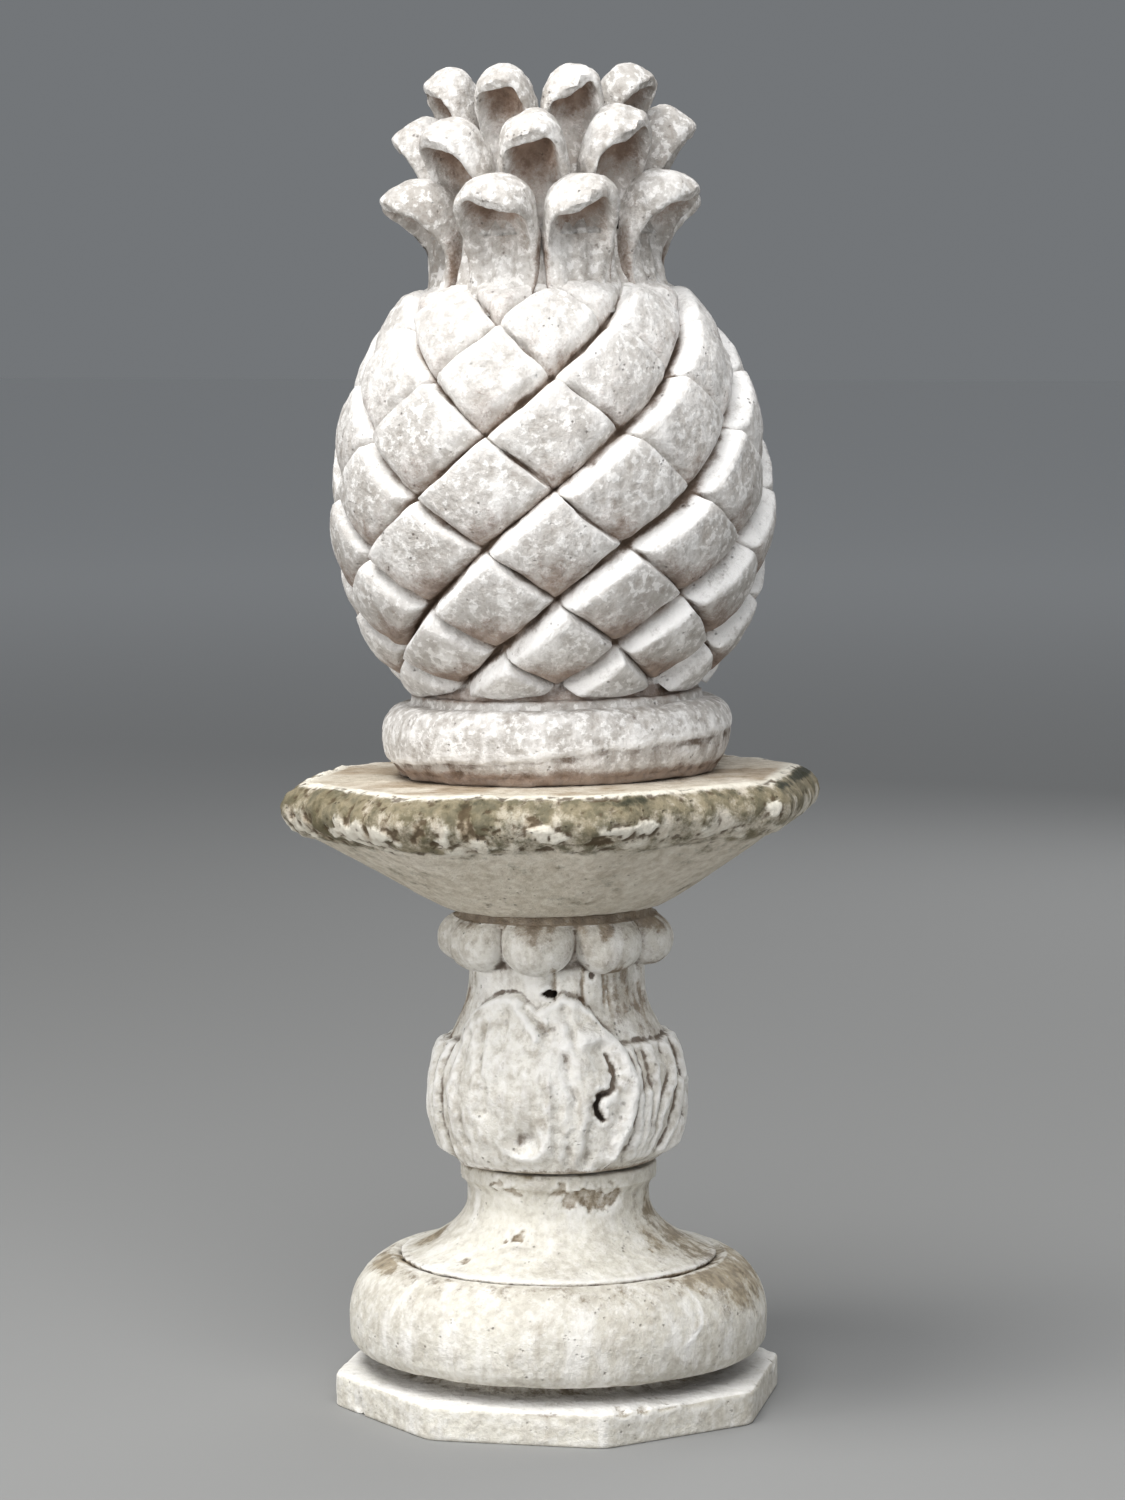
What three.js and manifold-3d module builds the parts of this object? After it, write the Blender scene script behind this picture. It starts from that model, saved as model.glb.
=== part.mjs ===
// A cast-stone pineapple standing on an eight-sided table top, a leaf-carved stem and a moulded foot.
// Millimetres, +Z up. The origin is the middle of the plinth's underside and the front looks along -Y.
// Azimuths are in degrees from the front, positive towards +X. Heights in a piece start at its underside.

import * as THREE from 'three';
import { mergeVertices } from 'three/addons/utils/BufferGeometryUtils.js';
import Module from 'manifold-3d';

const wasm = await Module();
wasm.setup();

// How the four castings stand on each other
const bedGap = 0.3; // clearance that is left in a bed joint at its tightest side
const stemLean = 0.7; // degrees that the stem leans to -X
const tableLean = 1.4; // degrees that the table top and the pineapple lean to -X
const pineappleShift = 5; // how far the pineapple stands off the table's middle, to +X

// Foot: an octagonal plinth, a plump round moulding, a flared bell and a neck ring
const octagonSides = 8;
const plinthAcrossFlats = 324;
const plinthEdgeHeight = 25;
const plinthArris = 3;
const plinthTopRise = 5; // the top of the plinth rises by this much towards the groove
const grooveRadius = 118;
const grooveHeight = 10;
const torusRadius = 161;
const torusLowerRound = 15; // height and depth of the tight round at the torus's lower edge
const torusUpperRound = 47; // height of the long round above the torus's widest line
const torusBand = 12; // nearly upright band between the two rounds
const torusLowerSweep = 75; // degrees that the lower round turns through
const torusUpperSweep = 75.6; // degrees that the upper round turns through
const bellRimRadius = 121;
const bellRimThickness = 4;
const bellHeight = 43;
// Handles of the bell's hollow curve, as shares of its reach and height
const bellCurve = { rimReach: 0.55, rimRise: 0.2, neckRise: 0.62 };
const footNeckRadius = 70;
const footNeckHeight = 8;
const footRingRadius = 75.5;
const footRingFlare = 9; // height over which the neck opens to the ring
const footRingHeight = 11;
const footColumns = 28;

// Stem: a bulb wrapped in leaves, a waist with upright leaves and a collar of lobes
const stemBedRadius = 71;
const bulbRadius = 93;
const bulbWidestHeight = 55;
const bulbFullness = 2.2; // power of the round under the widest line
const waistRadius = 67;
const waistHeight = 138; // height of the narrowest part of the stem
const waistSkew = 1.15; // over 1, the hollow curve keeps nearer to the bulb
const collarUnderHeight = 150;
const collarRadius = 90;
const collarTopHeight = 189;
const collarBedRadius = 74; // the round seat above the collar, which carries the table top
const collarBedHeight = 6.5;
const collarUnderShare = 0.25; // how far the collar's underside has swung out from the waist
const collarEdgeShare = 0.3; // the same at the two edges of its round
const collarLobes = 8;
const collarGrooveDepth = 12;
const lobeFullness = 0.4; // under 1, a lobe is flat in front and its grooves are narrow
const bulbLeaves = 2; // broad leaves on the bulb, with bundles of ribs between them
const bulbLeafSpread = 44; // half the width of a broad leaf at its widest, in degrees
const bulbLeafFlat = 0.7; // share of that half width before the leaf falls off to its edge
const bulbLeafRelief = 5.5;
const bulbRibRelief = 4;
const bulbLeafAzimuth = -4; // azimuth of the front broad leaf
const bulbLeafTopHeight = 126; // height of a broad leaf's upper edge at its middle
const bulbLeafTopDrop = 30; // how much lower the carving ends between the broad leaves
const bulbRibs = 6; // ribs in the bundle between two broad leaves
const carvingFade = 9; // height over which a band of carving starts or ends
const waistLeafRelief = 3;
const stemColumns = 48;
const bulbRows = 9;
const waistRows = 4;
const finerRowsFrom = 0.75; // the rows stand closer above this share of the waist's height
const collarRows = 5;

// Table top: an eight-sided slab with a bullnose rim, tapering to a round seat
const tableBedRadius = 83;
const tableSkirtHeight = 58; // from the round seat up to the rim's lower edge
const tableUnderAcrossFlats = 344; // at the rim's lower edge
const tableRimAcrossFlats = 392;
const tableTopAcrossFlats = 356;
const tableRimHeight = 43;
const skirtFullness = 0.9; // power of the bowl's outline, 1 for a straight one
const skirtRounding = 1.4; // power by which the bowl turns from a circle into an octagon
const rimFullness = 0.7; // power of the rim's round, under 1 for a plump one
const tableColumns = 32;
const skirtRows = 3;
const rimRows = 5;

// Pineapple: a round foot, a neck, the fruit with its scales and the crown with three tiers of leaves
const fruitFootBedRadius = 119;
const fruitFootRadius = 134;
const fruitFootHeight = 56;
const fruitFootWidestHeight = 32;
const fruitFootUndercut = 0.3; // share of that height at which the lower round starts to turn in
const fruitFootShoulderRadius = 112;
const filletHeight = 7;
const fruitNeckRadius = 104;
const fruitNeckHeight = 8;
const fruitRadius = 160.5;
const fruitLowerRise = 179; // half-height of the ellipse under the widest line
const fruitUpperRise = 202; // half-height of the ellipse above it
const fruitLowestAngle = -47.3; // where the scales start, as an angle on the ellipse
const scalesAround = 9;
const scaleRowAngle = 13; // from one row of scales to the next, on the ellipse
const scaleRows = 8;
const scaleRelief = 13;
const scaleAzimuth = 12; // azimuth of a scale in the odd rows
const scaleRoundness = 1.2; // how much lower a scale is towards its edges
// Width of the bevel along each edge of a scale, as a share of the scale's width
const scaleBevels = { upperLeft: 0.24, lowerRight: 0.1, upperRight: 0.14, lowerLeft: 0.12 };
const crownHeight = 158; // from the top of the fruit to the crest of the highest leaves
const crownSpread = 127; // radius at the tips of the lowest leaves
const crownCoreRadius = 68;
const crownCoreTopRadius = 44;
const crownCoreShare = 0.81; // height of the core as a share of the crown's
const coreShoulder = { height: 0.85, reach: 0.8 }; // where its top starts to round over, as shares
const crownLeaves = 8;
const leafEmbed = 10; // how deep a leaf's root is sunk in the core
const fruitFootColumns = 30;
const coreColumns = 16;

// Tiers of the crown, lowest first: heights as shares of its height, the rest as shares of its spread
const crownTiers = [
  { azimuth: -13.8, root: -0.038, tip: 0.392, crest: 0.519, reach: 1, width: 0.425, thickness: 0.165 },
  { azimuth: 9, root: 0.278, tip: 0.665, crest: 0.81, reach: 0.906, width: 0.378, thickness: 0.157 },
  { azimuth: 31, root: 0.557, tip: 0.899, crest: 1, reach: 0.724, width: 0.331, thickness: 0.142 },
];

// How a leaf rises behind, lifts over its crest, and widens and thins along its length, all as shares
const leafRise = { back: 0.5, straight: 0.7, crestReach: 0.55, crestLift: 0.12 };
const leafWidth = { root: 0.78, fullFrom: 0.6, taperFrom: 0.7, taper: 0.4, taperPower: 1.5 };
const leafThinning = 0.8;

const degrees = Math.PI / 180;
const octagonCorner = 180 / octagonSides;

function mix(from, to, share) {
  return from + (to - from) * share;
}

// Share that rises smoothly from 0 at low to 1 at high
function smooth(value, low, high) {
  return THREE.MathUtils.smoothstep(value, low, high);
}

// The place at a radius and azimuth round the axis, at a height
function around(azimuth, radius, height) {
  const turn = azimuth * degrees;
  return new THREE.Vector3(radius * Math.sin(turn), -radius * Math.cos(turn), height);
}

// Radius of a regular octagon with flats facing the axes, as a share of half its width across flats
function octagonShare(azimuth) {
  const step = 360 / octagonSides;
  const fromFlat = azimuth - step * Math.round(azimuth / step);
  return 1 / Math.cos(fromFlat * degrees);
}

// A closed skin over rings of points, from the lowest ring up, each ring running anticlockwise seen from
// above. Both ends are closed by a fan. split says which diagonal of a panel is a fold.
function skin(rings, split = () => true) {
  const columns = rings[0].length;
  const points = rings.flat();
  const middle = (ring) => ring
    .reduce((sum, point) => sum.add(point), new THREE.Vector3())
    .divideScalar(columns);
  const bottom = points.push(middle(rings[0])) - 1;
  const top = points.push(middle(rings[rings.length - 1])) - 1;
  const triangles = [];
  for (let column = 0; column < columns; column += 1) {
    const next = (column + 1) % columns;
    const lastRing = (rings.length - 1) * columns;
    triangles.push(bottom, next, column, top, lastRing + column, lastRing + next);
    for (let row = 0; row < rings.length - 1; row += 1) {
      const [a, b] = [row * columns + column, row * columns + next];
      const [c, d] = [a + columns, b + columns];
      if (split(column, row)) triangles.push(a, b, c, b, d, c);
      else triangles.push(a, b, d, a, d, c);
    }
  }
  const geometry = new THREE.BufferGeometry().setFromPoints(points);
  return geometry.setIndex(triangles);
}

// Rings round the axis, one for each row, of points that pointAt gives for an azimuth and a row
function rings(rows, columns, pointAt) {
  return Array.from({ length: rows }, (_, row) =>
    Array.from({ length: columns }, (_, column) => pointAt((column * 360) / columns, row)));
}

// A turned piece from its outline, which is drawn from the axis at the bottom to the axis at the top
function turned(outline, columns) {
  const geometry = new THREE.LatheGeometry(outline, columns).rotateX(90 * degrees);
  geometry.deleteAttribute('normal');
  geometry.deleteAttribute('uv');
  return geometry;
}

// A closed mesh as a solid that can be joined to another
function solid(geometry) {
  const merged = mergeVertices(geometry, 1e-4);
  const corners = merged.getIndex().array;
  const kept = [];
  for (let at = 0; at < corners.length; at += 3) {
    const [a, b, c] = [corners[at], corners[at + 1], corners[at + 2]];
    if (a !== b && b !== c && c !== a) kept.push(a, b, c);
  }
  return new wasm.Manifold(new wasm.Mesh({
    numProp: 3,
    vertProperties: new Float32Array(merged.getAttribute('position').array),
    triVerts: new Uint32Array(kept),
  }));
}

// The joined solids as one three.js geometry
function joined(geometries) {
  const whole = geometries.map(solid).reduce((sum, next) => sum.add(next));
  const mesh = whole.getMesh();
  const geometry = new THREE.BufferGeometry();
  geometry.setAttribute('position', new THREE.BufferAttribute(new Float32Array(mesh.vertProperties), 3));
  geometry.setIndex(new THREE.BufferAttribute(new Uint32Array(mesh.triVerts), 1));
  geometry.computeVertexNormals();
  return geometry;
}

function stonePiece(name, geometry, color, roughness) {
  const mesh = new THREE.Mesh(geometry, new THREE.MeshStandardMaterial({ color, roughness, metalness: 0 }));
  mesh.name = name;
  return mesh;
}

// The octagonal plinth, with a small worn arris and a top that rises to the groove
function plinthSolid() {
  const half = plinthAcrossFlats / 2;
  const steps = [
    { reach: half - plinthArris / 2, height: 0 },
    { reach: half, height: plinthArris },
    { reach: half, height: plinthEdgeHeight - plinthArris },
    { reach: half - plinthArris, height: plinthEdgeHeight },
  ];
  const cornerAt = (column) => octagonCorner + (column * 360) / octagonSides;
  const octagons = steps.map(({ reach, height }) =>
    Array.from({ length: octagonSides }, (_, column) =>
      around(cornerAt(column), reach * octagonShare(cornerAt(column)), height)));
  return skin(octagons);
}

const plinthHeight = plinthEdgeHeight + plinthTopRise;
const torusBottom = plinthHeight + grooveHeight;
const torusWidest = torusBottom + torusLowerRound + torusBand;
const bellRimBottom = torusWidest + torusUpperRound - bellRimThickness;
const bellTop = bellRimBottom + bellRimThickness + bellHeight;
const footNeckTop = bellTop + footNeckHeight;
const footHeight = footNeckTop + footRingFlare + footRingHeight;

// The turned part of the foot, drawn from inside the plinth up to the bed for the stem
function footOutline() {
  const sunk = plinthEdgeHeight / 2;
  const outline = new THREE.Path();
  outline.moveTo(0, sunk);
  outline.lineTo(plinthAcrossFlats / 2 - 2 * plinthArris, sunk);
  outline.lineTo(plinthAcrossFlats / 2 - 2 * plinthArris, plinthEdgeHeight);
  outline.lineTo(grooveRadius + grooveHeight, plinthHeight - plinthTopRise / 4);
  outline.lineTo(grooveRadius, plinthHeight + grooveHeight / 3);
  outline.lineTo(grooveRadius, torusBottom);
  const lowerMiddle = torusRadius - torusLowerRound;
  outline.lineTo(lowerMiddle, torusBottom);
  const lowerEnd = (torusLowerSweep - 90) * degrees;
  outline.absellipse(
    lowerMiddle, torusBottom + torusLowerRound, torusLowerRound, torusLowerRound, -90 * degrees, lowerEnd);
  const upperReach = torusRadius - bellRimRadius + bellRimThickness;
  outline.absellipse(
    torusRadius - upperReach, torusWidest, upperReach, torusUpperRound, 0, torusUpperSweep * degrees);
  outline.lineTo(bellRimRadius - bellRimThickness, bellRimBottom);
  outline.lineTo(bellRimRadius, bellRimBottom);
  const bellBottom = bellRimBottom + bellRimThickness;
  outline.lineTo(bellRimRadius, bellBottom);
  outline.bezierCurveTo(
    mix(bellRimRadius, footNeckRadius, bellCurve.rimReach), mix(bellBottom, bellTop, bellCurve.rimRise),
    footNeckRadius, mix(bellBottom, bellTop, bellCurve.neckRise),
    footNeckRadius, bellTop);
  outline.lineTo(footNeckRadius, footNeckTop);
  outline.quadraticCurveTo(
    footNeckRadius, footNeckTop + footRingFlare / 2, footRingRadius, footNeckTop + footRingFlare);
  outline.lineTo(footRingRadius, footHeight);
  outline.lineTo(0, footHeight);
  return outline.getPoints(2);
}

function foot() {
  const geometry = joined([plinthSolid(), turned(footOutline(), footColumns)]);
  return stonePiece('moulded_foot', geometry, 0xd8d3c4, 0.9);
}

const stemHeight = collarTopHeight + collarBedHeight;

// Radius of the stem without its carving: a round bulb, a hollow curve to the waist, a round collar
function stemRadius(height) {
  if (height < bulbWidestHeight) {
    const share = 1 - height / bulbWidestHeight;
    return mix(stemBedRadius, bulbRadius, Math.sqrt(1 - share ** bulbFullness));
  }
  if (height < waistHeight) {
    const share = (height - bulbWidestHeight) / (waistHeight - bulbWidestHeight);
    return mix(bulbRadius, waistRadius, (1 - Math.cos(Math.PI * share ** waistSkew)) / 2);
  }
  if (height < collarUnderHeight) {
    const share = (height - waistHeight) / (collarUnderHeight - waistHeight);
    return mix(waistRadius, mix(waistRadius, collarRadius, collarUnderShare), share ** 2);
  }
  const middle = (collarUnderHeight + collarTopHeight) / 2;
  const share = Math.abs(height - middle) / (collarTopHeight - middle);
  const inner = mix(waistRadius, collarRadius, collarEdgeShare);
  return mix(inner, collarRadius, Math.sqrt(Math.max(0, 1 - share ** 3)));
}

// Distance in degrees from the nearest of a number of evenly spaced azimuths, with its sign
function fromNearest(azimuth, count, first) {
  const step = 360 / count;
  return azimuth - first - step * Math.round((azimuth - first) / step);
}

// Carving that is added to the stem's radius: broad leaves and ribs on the bulb, leaves on the waist, lobes
function stemRelief(azimuth, height) {
  const leafPitch = 180 / bulbLeaves;
  const fromLeaf = Math.abs(fromNearest(azimuth, bulbLeaves, bulbLeafAzimuth));
  const leafFlat = bulbLeafSpread * bulbLeafFlat;
  const besideLeaf = smooth(fromLeaf, leafFlat, bulbLeafSpread);
  const leafTop = bulbLeafTopHeight - bulbLeafTopDrop * besideLeaf;
  const overBulb = smooth(height, leafTop - carvingFade / 2, leafTop + carvingFade / 2);
  const onBulb = smooth(height, 0, 2 * carvingFade) * (1 - overBulb);
  const ribTurn = ((leafPitch - fromLeaf) / (leafPitch - leafFlat)) * bulbRibs * Math.PI;
  const ribs = 0.5 * (1 + Math.cos(ribTurn));
  const bulb = onBulb * mix(bulbLeafRelief, bulbRibRelief * ribs, besideLeaf);
  const underCollar = 1 - smooth(height, collarUnderHeight - carvingFade / 2, collarUnderHeight);
  const waistLeaves = Math.cos(fromNearest(azimuth, collarLobes, 0) * collarLobes * degrees);
  const waist = overBulb * underCollar * waistLeafRelief * waistLeaves;
  const onCollar = smooth(height, collarUnderHeight, collarUnderHeight + carvingFade / 2);
  const fromGroove = Math.abs(fromNearest(azimuth, collarLobes, octagonCorner)) / octagonCorner;
  const collar = onCollar * collarGrooveDepth * (fromGroove ** lobeFullness - 1);
  return bulb + waist + collar;
}

function stemHeights() {
  const heights = [];
  const finerFrom = waistHeight * finerRowsFrom;
  for (let row = 0; row < bulbRows; row += 1) heights.push(mix(0, finerFrom, row / bulbRows));
  for (let row = 0; row < waistRows; row += 1) {
    heights.push(mix(finerFrom, collarUnderHeight, row / waistRows));
  }
  for (let row = 0; row <= collarRows; row += 1) {
    const swing = (1 - Math.cos((Math.PI * row) / collarRows)) / 2;
    heights.push(mix(collarUnderHeight, collarTopHeight, swing));
  }
  return heights;
}

function stem() {
  const heights = stemHeights();
  const carved = rings(heights.length, stemColumns, (azimuth, row) => {
    const height = heights[row];
    const turnedTo = azimuth + octagonCorner;
    return around(turnedTo, stemRadius(height) + stemRelief(turnedTo, height), height);
  });
  const seat = new THREE.CylinderGeometry(
    collarBedRadius, collarBedRadius, 2 * collarBedHeight, stemColumns).rotateX(90 * degrees);
  seat.translate(0, 0, collarTopHeight);
  seat.deleteAttribute('normal');
  seat.deleteAttribute('uv');
  return stonePiece('carved_stem', joined([skin(carved), seat]), 0xd9d5c8, 0.9);
}

const tableHeight = tableSkirtHeight + tableRimHeight;

// Rows of the table top: half its width across flats, its height, and how round it is (0 octagon, 1 circle)
function tableRows() {
  const rows = [];
  for (let row = 0; row <= skirtRows; row += 1) {
    const share = row / skirtRows;
    const reach = mix(tableBedRadius, tableUnderAcrossFlats / 2, share ** skirtFullness);
    rows.push({ reach, height: share * tableSkirtHeight, roundness: 1 - share ** skirtRounding });
  }
  for (let row = 1; row <= rimRows; row += 1) {
    const share = row / rimRows;
    const edge = mix(tableUnderAcrossFlats, tableTopAcrossFlats, share) / 2;
    const bulge = tableRimAcrossFlats / 2 - mix(tableUnderAcrossFlats, tableTopAcrossFlats, 0.5) / 2;
    const reach = edge + bulge * Math.sin(Math.PI * share) ** rimFullness;
    rows.push({ reach, height: tableSkirtHeight + share * tableRimHeight, roundness: 0 });
  }
  return rows;
}

function tableTop() {
  const rows = tableRows();
  const shape = rings(rows.length, tableColumns, (azimuth, row) => {
    const { reach, height, roundness } = rows[row];
    const turnedTo = azimuth + octagonCorner;
    return around(turnedTo, reach * mix(octagonShare(turnedTo), 1, roundness), height);
  });
  const geometry = skin(shape);
  geometry.computeVertexNormals();
  return stonePiece('octagonal_table_top', geometry, 0xb5ae95, 0.95);
}

const fruitNeckBottom = fruitFootHeight + filletHeight;
const fruitBottom = fruitNeckBottom + fruitNeckHeight;
const fruitWidest = fruitBottom - fruitLowerRise * Math.sin(fruitLowestAngle * degrees);
const fruitTopAngle = fruitLowestAngle + scaleRows * scaleRowAngle;
const fruitTop = fruitWidest + fruitUpperRise * Math.sin(fruitTopAngle * degrees);

// The round foot of the pineapple with its fillet and neck, drawn from its underside up into the fruit
function fruitFootOutline() {
  const outline = new THREE.Path();
  outline.moveTo(0, 0);
  outline.lineTo(fruitFootBedRadius, 0);
  outline.quadraticCurveTo(
    fruitFootRadius, fruitFootWidestHeight * fruitFootUndercut, fruitFootRadius, fruitFootWidestHeight);
  outline.quadraticCurveTo(fruitFootRadius, fruitFootHeight, fruitFootShoulderRadius, fruitFootHeight);
  outline.lineTo(fruitFootShoulderRadius, fruitNeckBottom);
  outline.lineTo(fruitNeckRadius, fruitNeckBottom);
  outline.lineTo(fruitNeckRadius, fruitBottom + fruitNeckHeight);
  outline.lineTo(0, fruitBottom + fruitNeckHeight);
  return outline.getPoints(2);
}

const scaleStep = 3; // panels from the middle of a scale to its corner

// How high a scale stands at a place, from 0 in the groove to 1. across and up count scales and pairs of
// rows. Each scale is a lozenge with a wide bevel at its upper left edge and steep drops at its lower edges.
function scaleShape(across, up) {
  const toUpperRight = up + across + 0.5;
  const toUpperLeft = up - across + 0.5;
  const right = toUpperRight - Math.round(toUpperRight);
  const left = toUpperLeft - Math.round(toUpperLeft);
  const { upperLeft, lowerRight, upperRight, lowerLeft } = scaleBevels;
  const slopes = [
    (0.5 - left) / upperLeft, (0.5 + left) / lowerRight,
    (0.5 - right) / upperRight, (0.5 + right) / lowerLeft];
  const edge = Math.min(1, ...slopes);
  const pillow = 1 - scaleRoundness * (right * right + left * left);
  return Math.max(0, edge) * pillow;
}

// The fruit: half an ellipse under the widest line, another above it, pushed out by the scales
function fruit() {
  const rows = scaleRows * scaleStep + 1;
  const columns = 2 * scalesAround * scaleStep;
  const shape = rings(rows, columns, (turn, row) => {
    const angle = (fruitLowestAngle + (row * scaleRowAngle) / scaleStep) * degrees;
    const push = scaleRelief * (scaleShape((turn * scalesAround) / 360, row / (2 * scaleStep)) - 0.5);
    const rise = angle < 0 ? fruitLowerRise : fruitUpperRise;
    const radius = (fruitRadius + push) * Math.cos(angle);
    return around(turn + scaleAzimuth, radius, fruitWidest + (rise + push) * Math.sin(angle));
  });
  const alongGroove = (column, row) =>
    (Math.floor(column / scaleStep) + Math.floor(row / scaleStep)) % 2 === 1;
  return skin(shape, alongGroove);
}

const crownCoreHeight = crownHeight * crownCoreShare;

// The core that carries the crown's leaves, drawn from inside the fruit
function coreOutline() {
  const outline = new THREE.Path();
  const sunk = fruitTop - crownCoreRadius / 2;
  outline.moveTo(0, sunk);
  outline.lineTo(crownCoreRadius, sunk);
  outline.lineTo(crownCoreRadius, fruitTop);
  outline.lineTo(crownCoreTopRadius, fruitTop + crownCoreHeight * coreShoulder.height);
  outline.quadraticCurveTo(
    crownCoreTopRadius * coreShoulder.reach, fruitTop + crownCoreHeight, 0, fruitTop + crownCoreHeight);
  return outline.getPoints(3);
}

function coreRadiusAt(height) {
  const share = THREE.MathUtils.clamp(height / (crownCoreHeight * coreShoulder.height), 0, 1);
  return mix(crownCoreRadius, crownCoreTopRadius, share);
}

const leafRings = 5;
// Section of a leaf: sideways as a share of half its width, outwards as a share of half its thickness
const leafSection = [[-0.5, 0.35], [0.5, 0.35], [1, 1], [0.6, -1], [-0.6, -1], [-1, 1]];

// A thick leaf that rises from the core, swells, and curls outwards over its hollow front
function crownLeaf(tier, azimuth) {
  const heights = [tier.root, tier.tip, tier.crest];
  const [rootHeight, tipHeight, crestHeight] = heights.map((share) => share * crownHeight);
  const breadths = [tier.reach, tier.width, tier.thickness];
  const [tipRadius, width, thickness] = breadths.map((share) => share * crownSpread);
  const rootRadius = coreRadiusAt(rootHeight) - leafEmbed;
  const rise = crestHeight - rootHeight;
  const crestRadius = mix(rootRadius, tipRadius, leafRise.crestReach);
  const path = new THREE.CubicBezierCurve(
    new THREE.Vector2(rootRadius, rootHeight),
    new THREE.Vector2(rootRadius + leafRise.back * leafEmbed, rootHeight + leafRise.straight * rise),
    new THREE.Vector2(crestRadius, crestHeight + leafRise.crestLift * rise),
    new THREE.Vector2(tipRadius - thickness / 3, tipHeight));
  const leaf = Array.from({ length: leafRings }, (_, ring) => {
    const share = ring / (leafRings - 1);
    const place = path.getPoint(share);
    const along = path.getTangent(share);
    const taper = leafWidth.taper * smooth(share, leafWidth.taperFrom, 1) ** leafWidth.taperPower;
    const swell = mix(leafWidth.root, 1, smooth(share, 0, leafWidth.fullFrom)) * (1 - taper);
    const sides = leafSection.map(([side, out]) => {
      const aside = (side * swell * width) / 2;
      const outwards = (out * mix(1, leafThinning, share) * thickness) / 2;
      const point = around(azimuth, place.x + outwards * along.y, fruitTop + place.y - outwards * along.x);
      return point.add(around(azimuth + 90, aside, 0));
    });
    return sides;
  });
  return skin(leaf);
}

function pineapple() {
  const parts = [turned(fruitFootOutline(), fruitFootColumns), fruit(), turned(coreOutline(), coreColumns)];
  for (const tier of crownTiers) {
    for (let leaf = 0; leaf < crownLeaves; leaf += 1) {
      parts.push(crownLeaf(tier, tier.azimuth + (leaf * 360) / crownLeaves));
    }
  }
  return stonePiece('pineapple', joined(parts), 0xd5d0c8, 0.85);
}

// Each casting stands in its own group on the one below, with a bed joint that its lean opens to one side
function standOn(parent, height, seatRadius, lean, shift) {
  const group = new THREE.Group();
  group.position.set(shift, 0, height + bedGap + seatRadius * Math.sin(Math.abs(lean) * degrees));
  group.rotation.y = -lean * degrees;
  parent.add(group);
  return group;
}

const ornament = new THREE.Group();
ornament.add(foot());
const stemStand = standOn(ornament, footHeight, footRingRadius, stemLean, 0);
stemStand.add(stem());
const tableStand = standOn(stemStand, stemHeight, tableBedRadius, tableLean - stemLean, 0);
tableStand.add(tableTop());
const pineappleStand = standOn(tableStand, tableHeight, fruitFootBedRadius, 0, pineappleShift);
pineappleStand.add(pineapple());

export default ornament;
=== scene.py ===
import math

import bpy
import numpy as np
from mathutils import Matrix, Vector


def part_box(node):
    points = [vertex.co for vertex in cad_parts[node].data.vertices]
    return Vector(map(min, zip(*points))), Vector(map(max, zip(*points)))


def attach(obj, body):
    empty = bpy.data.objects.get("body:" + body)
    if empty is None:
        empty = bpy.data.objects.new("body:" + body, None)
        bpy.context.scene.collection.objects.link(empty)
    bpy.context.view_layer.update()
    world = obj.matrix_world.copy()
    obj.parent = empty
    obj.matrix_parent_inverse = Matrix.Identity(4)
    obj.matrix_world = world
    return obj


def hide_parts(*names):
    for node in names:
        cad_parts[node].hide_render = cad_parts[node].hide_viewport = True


# A weathered cast-stone pineapple on an eight-sided table top, a leaf-carved stem and a moulded foot.
# Lengths are in millimetres, heights in a casting start at its underside, and azimuths are in degrees
# from the front, which looks along -Y, towards +X.
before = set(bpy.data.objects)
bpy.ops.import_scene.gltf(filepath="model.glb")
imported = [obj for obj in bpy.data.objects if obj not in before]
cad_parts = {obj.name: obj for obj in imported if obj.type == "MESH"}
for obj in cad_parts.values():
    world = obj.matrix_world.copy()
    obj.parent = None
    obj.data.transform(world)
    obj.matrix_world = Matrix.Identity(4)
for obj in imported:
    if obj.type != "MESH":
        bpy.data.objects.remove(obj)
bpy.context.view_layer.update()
metre = 0.001
print("frame loaded:", sorted(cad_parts))


# Noise and shaping helpers, all on whole arrays

def fadeIn(value, low, high):
    # rises smoothly from 0 at low to 1 at high
    share = np.clip((value - low) / (high - low), 0, 1)
    return share * share * (3 - 2 * share)


def fadeOut(value, low, high):
    # falls smoothly from 1 at low to 0 at high
    return 1 - fadeIn(value, low, high)


def mixed(first, second, share):
    return first + (second - first) * share


def bump(distance, width):
    # a round hump: 1 in the middle, fading as a bell curve of that half width
    return np.exp(-(distance / width) ** 2)


def fromAzimuth(azimuth, middle):
    # degrees from an azimuth, with its sign, the short way round
    return (azimuth - middle + 180) % 360 - 180


def cornerNumber(corner, seed):
    # one repeatable number from 0 to 1 for each lattice corner: its three counts are scrambled together
    first, second, third = [corner[..., k] for k in range(3)]
    number = first * 73856093 ^ second * 19349663 ^ third * 83492791 ^ seed * 49979693
    number = (number ^ number >> 15) * 2246822519 & 0xFFFFFFFF
    number = (number ^ number >> 13) * 3266489917 & 0xFFFFFFFF
    return (number ^ number >> 16) / 0xFFFFFFFF


def smoothNoise(points, size, seed):
    # from -1 to 1: numbers at the corners of a lattice of that size, blended smoothly in between
    place = points / size
    corner = np.floor(place).astype(np.int64)
    share = place - corner
    share = share * share * (3 - 2 * share)
    total = np.zeros(points.shape[:-1])
    for step in np.ndindex(2, 2, 2):
        weight = np.prod(np.where(np.array(step) == 1, share, 1 - share), axis=-1)
        total += weight * cornerNumber(corner + np.array(step), seed)
    return 2 * total - 1


def roughNoise(points, size, octaves, seed):
    # smooth noise plus half as much of half its size, and so on, from about -1 to 1
    layers = [smoothNoise(points, size / 2 ** k, seed + 7 * k) / 2 ** k for k in range(octaves)]
    return sum(layers) / (2 - 2.0 ** (1 - octaves))


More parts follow.
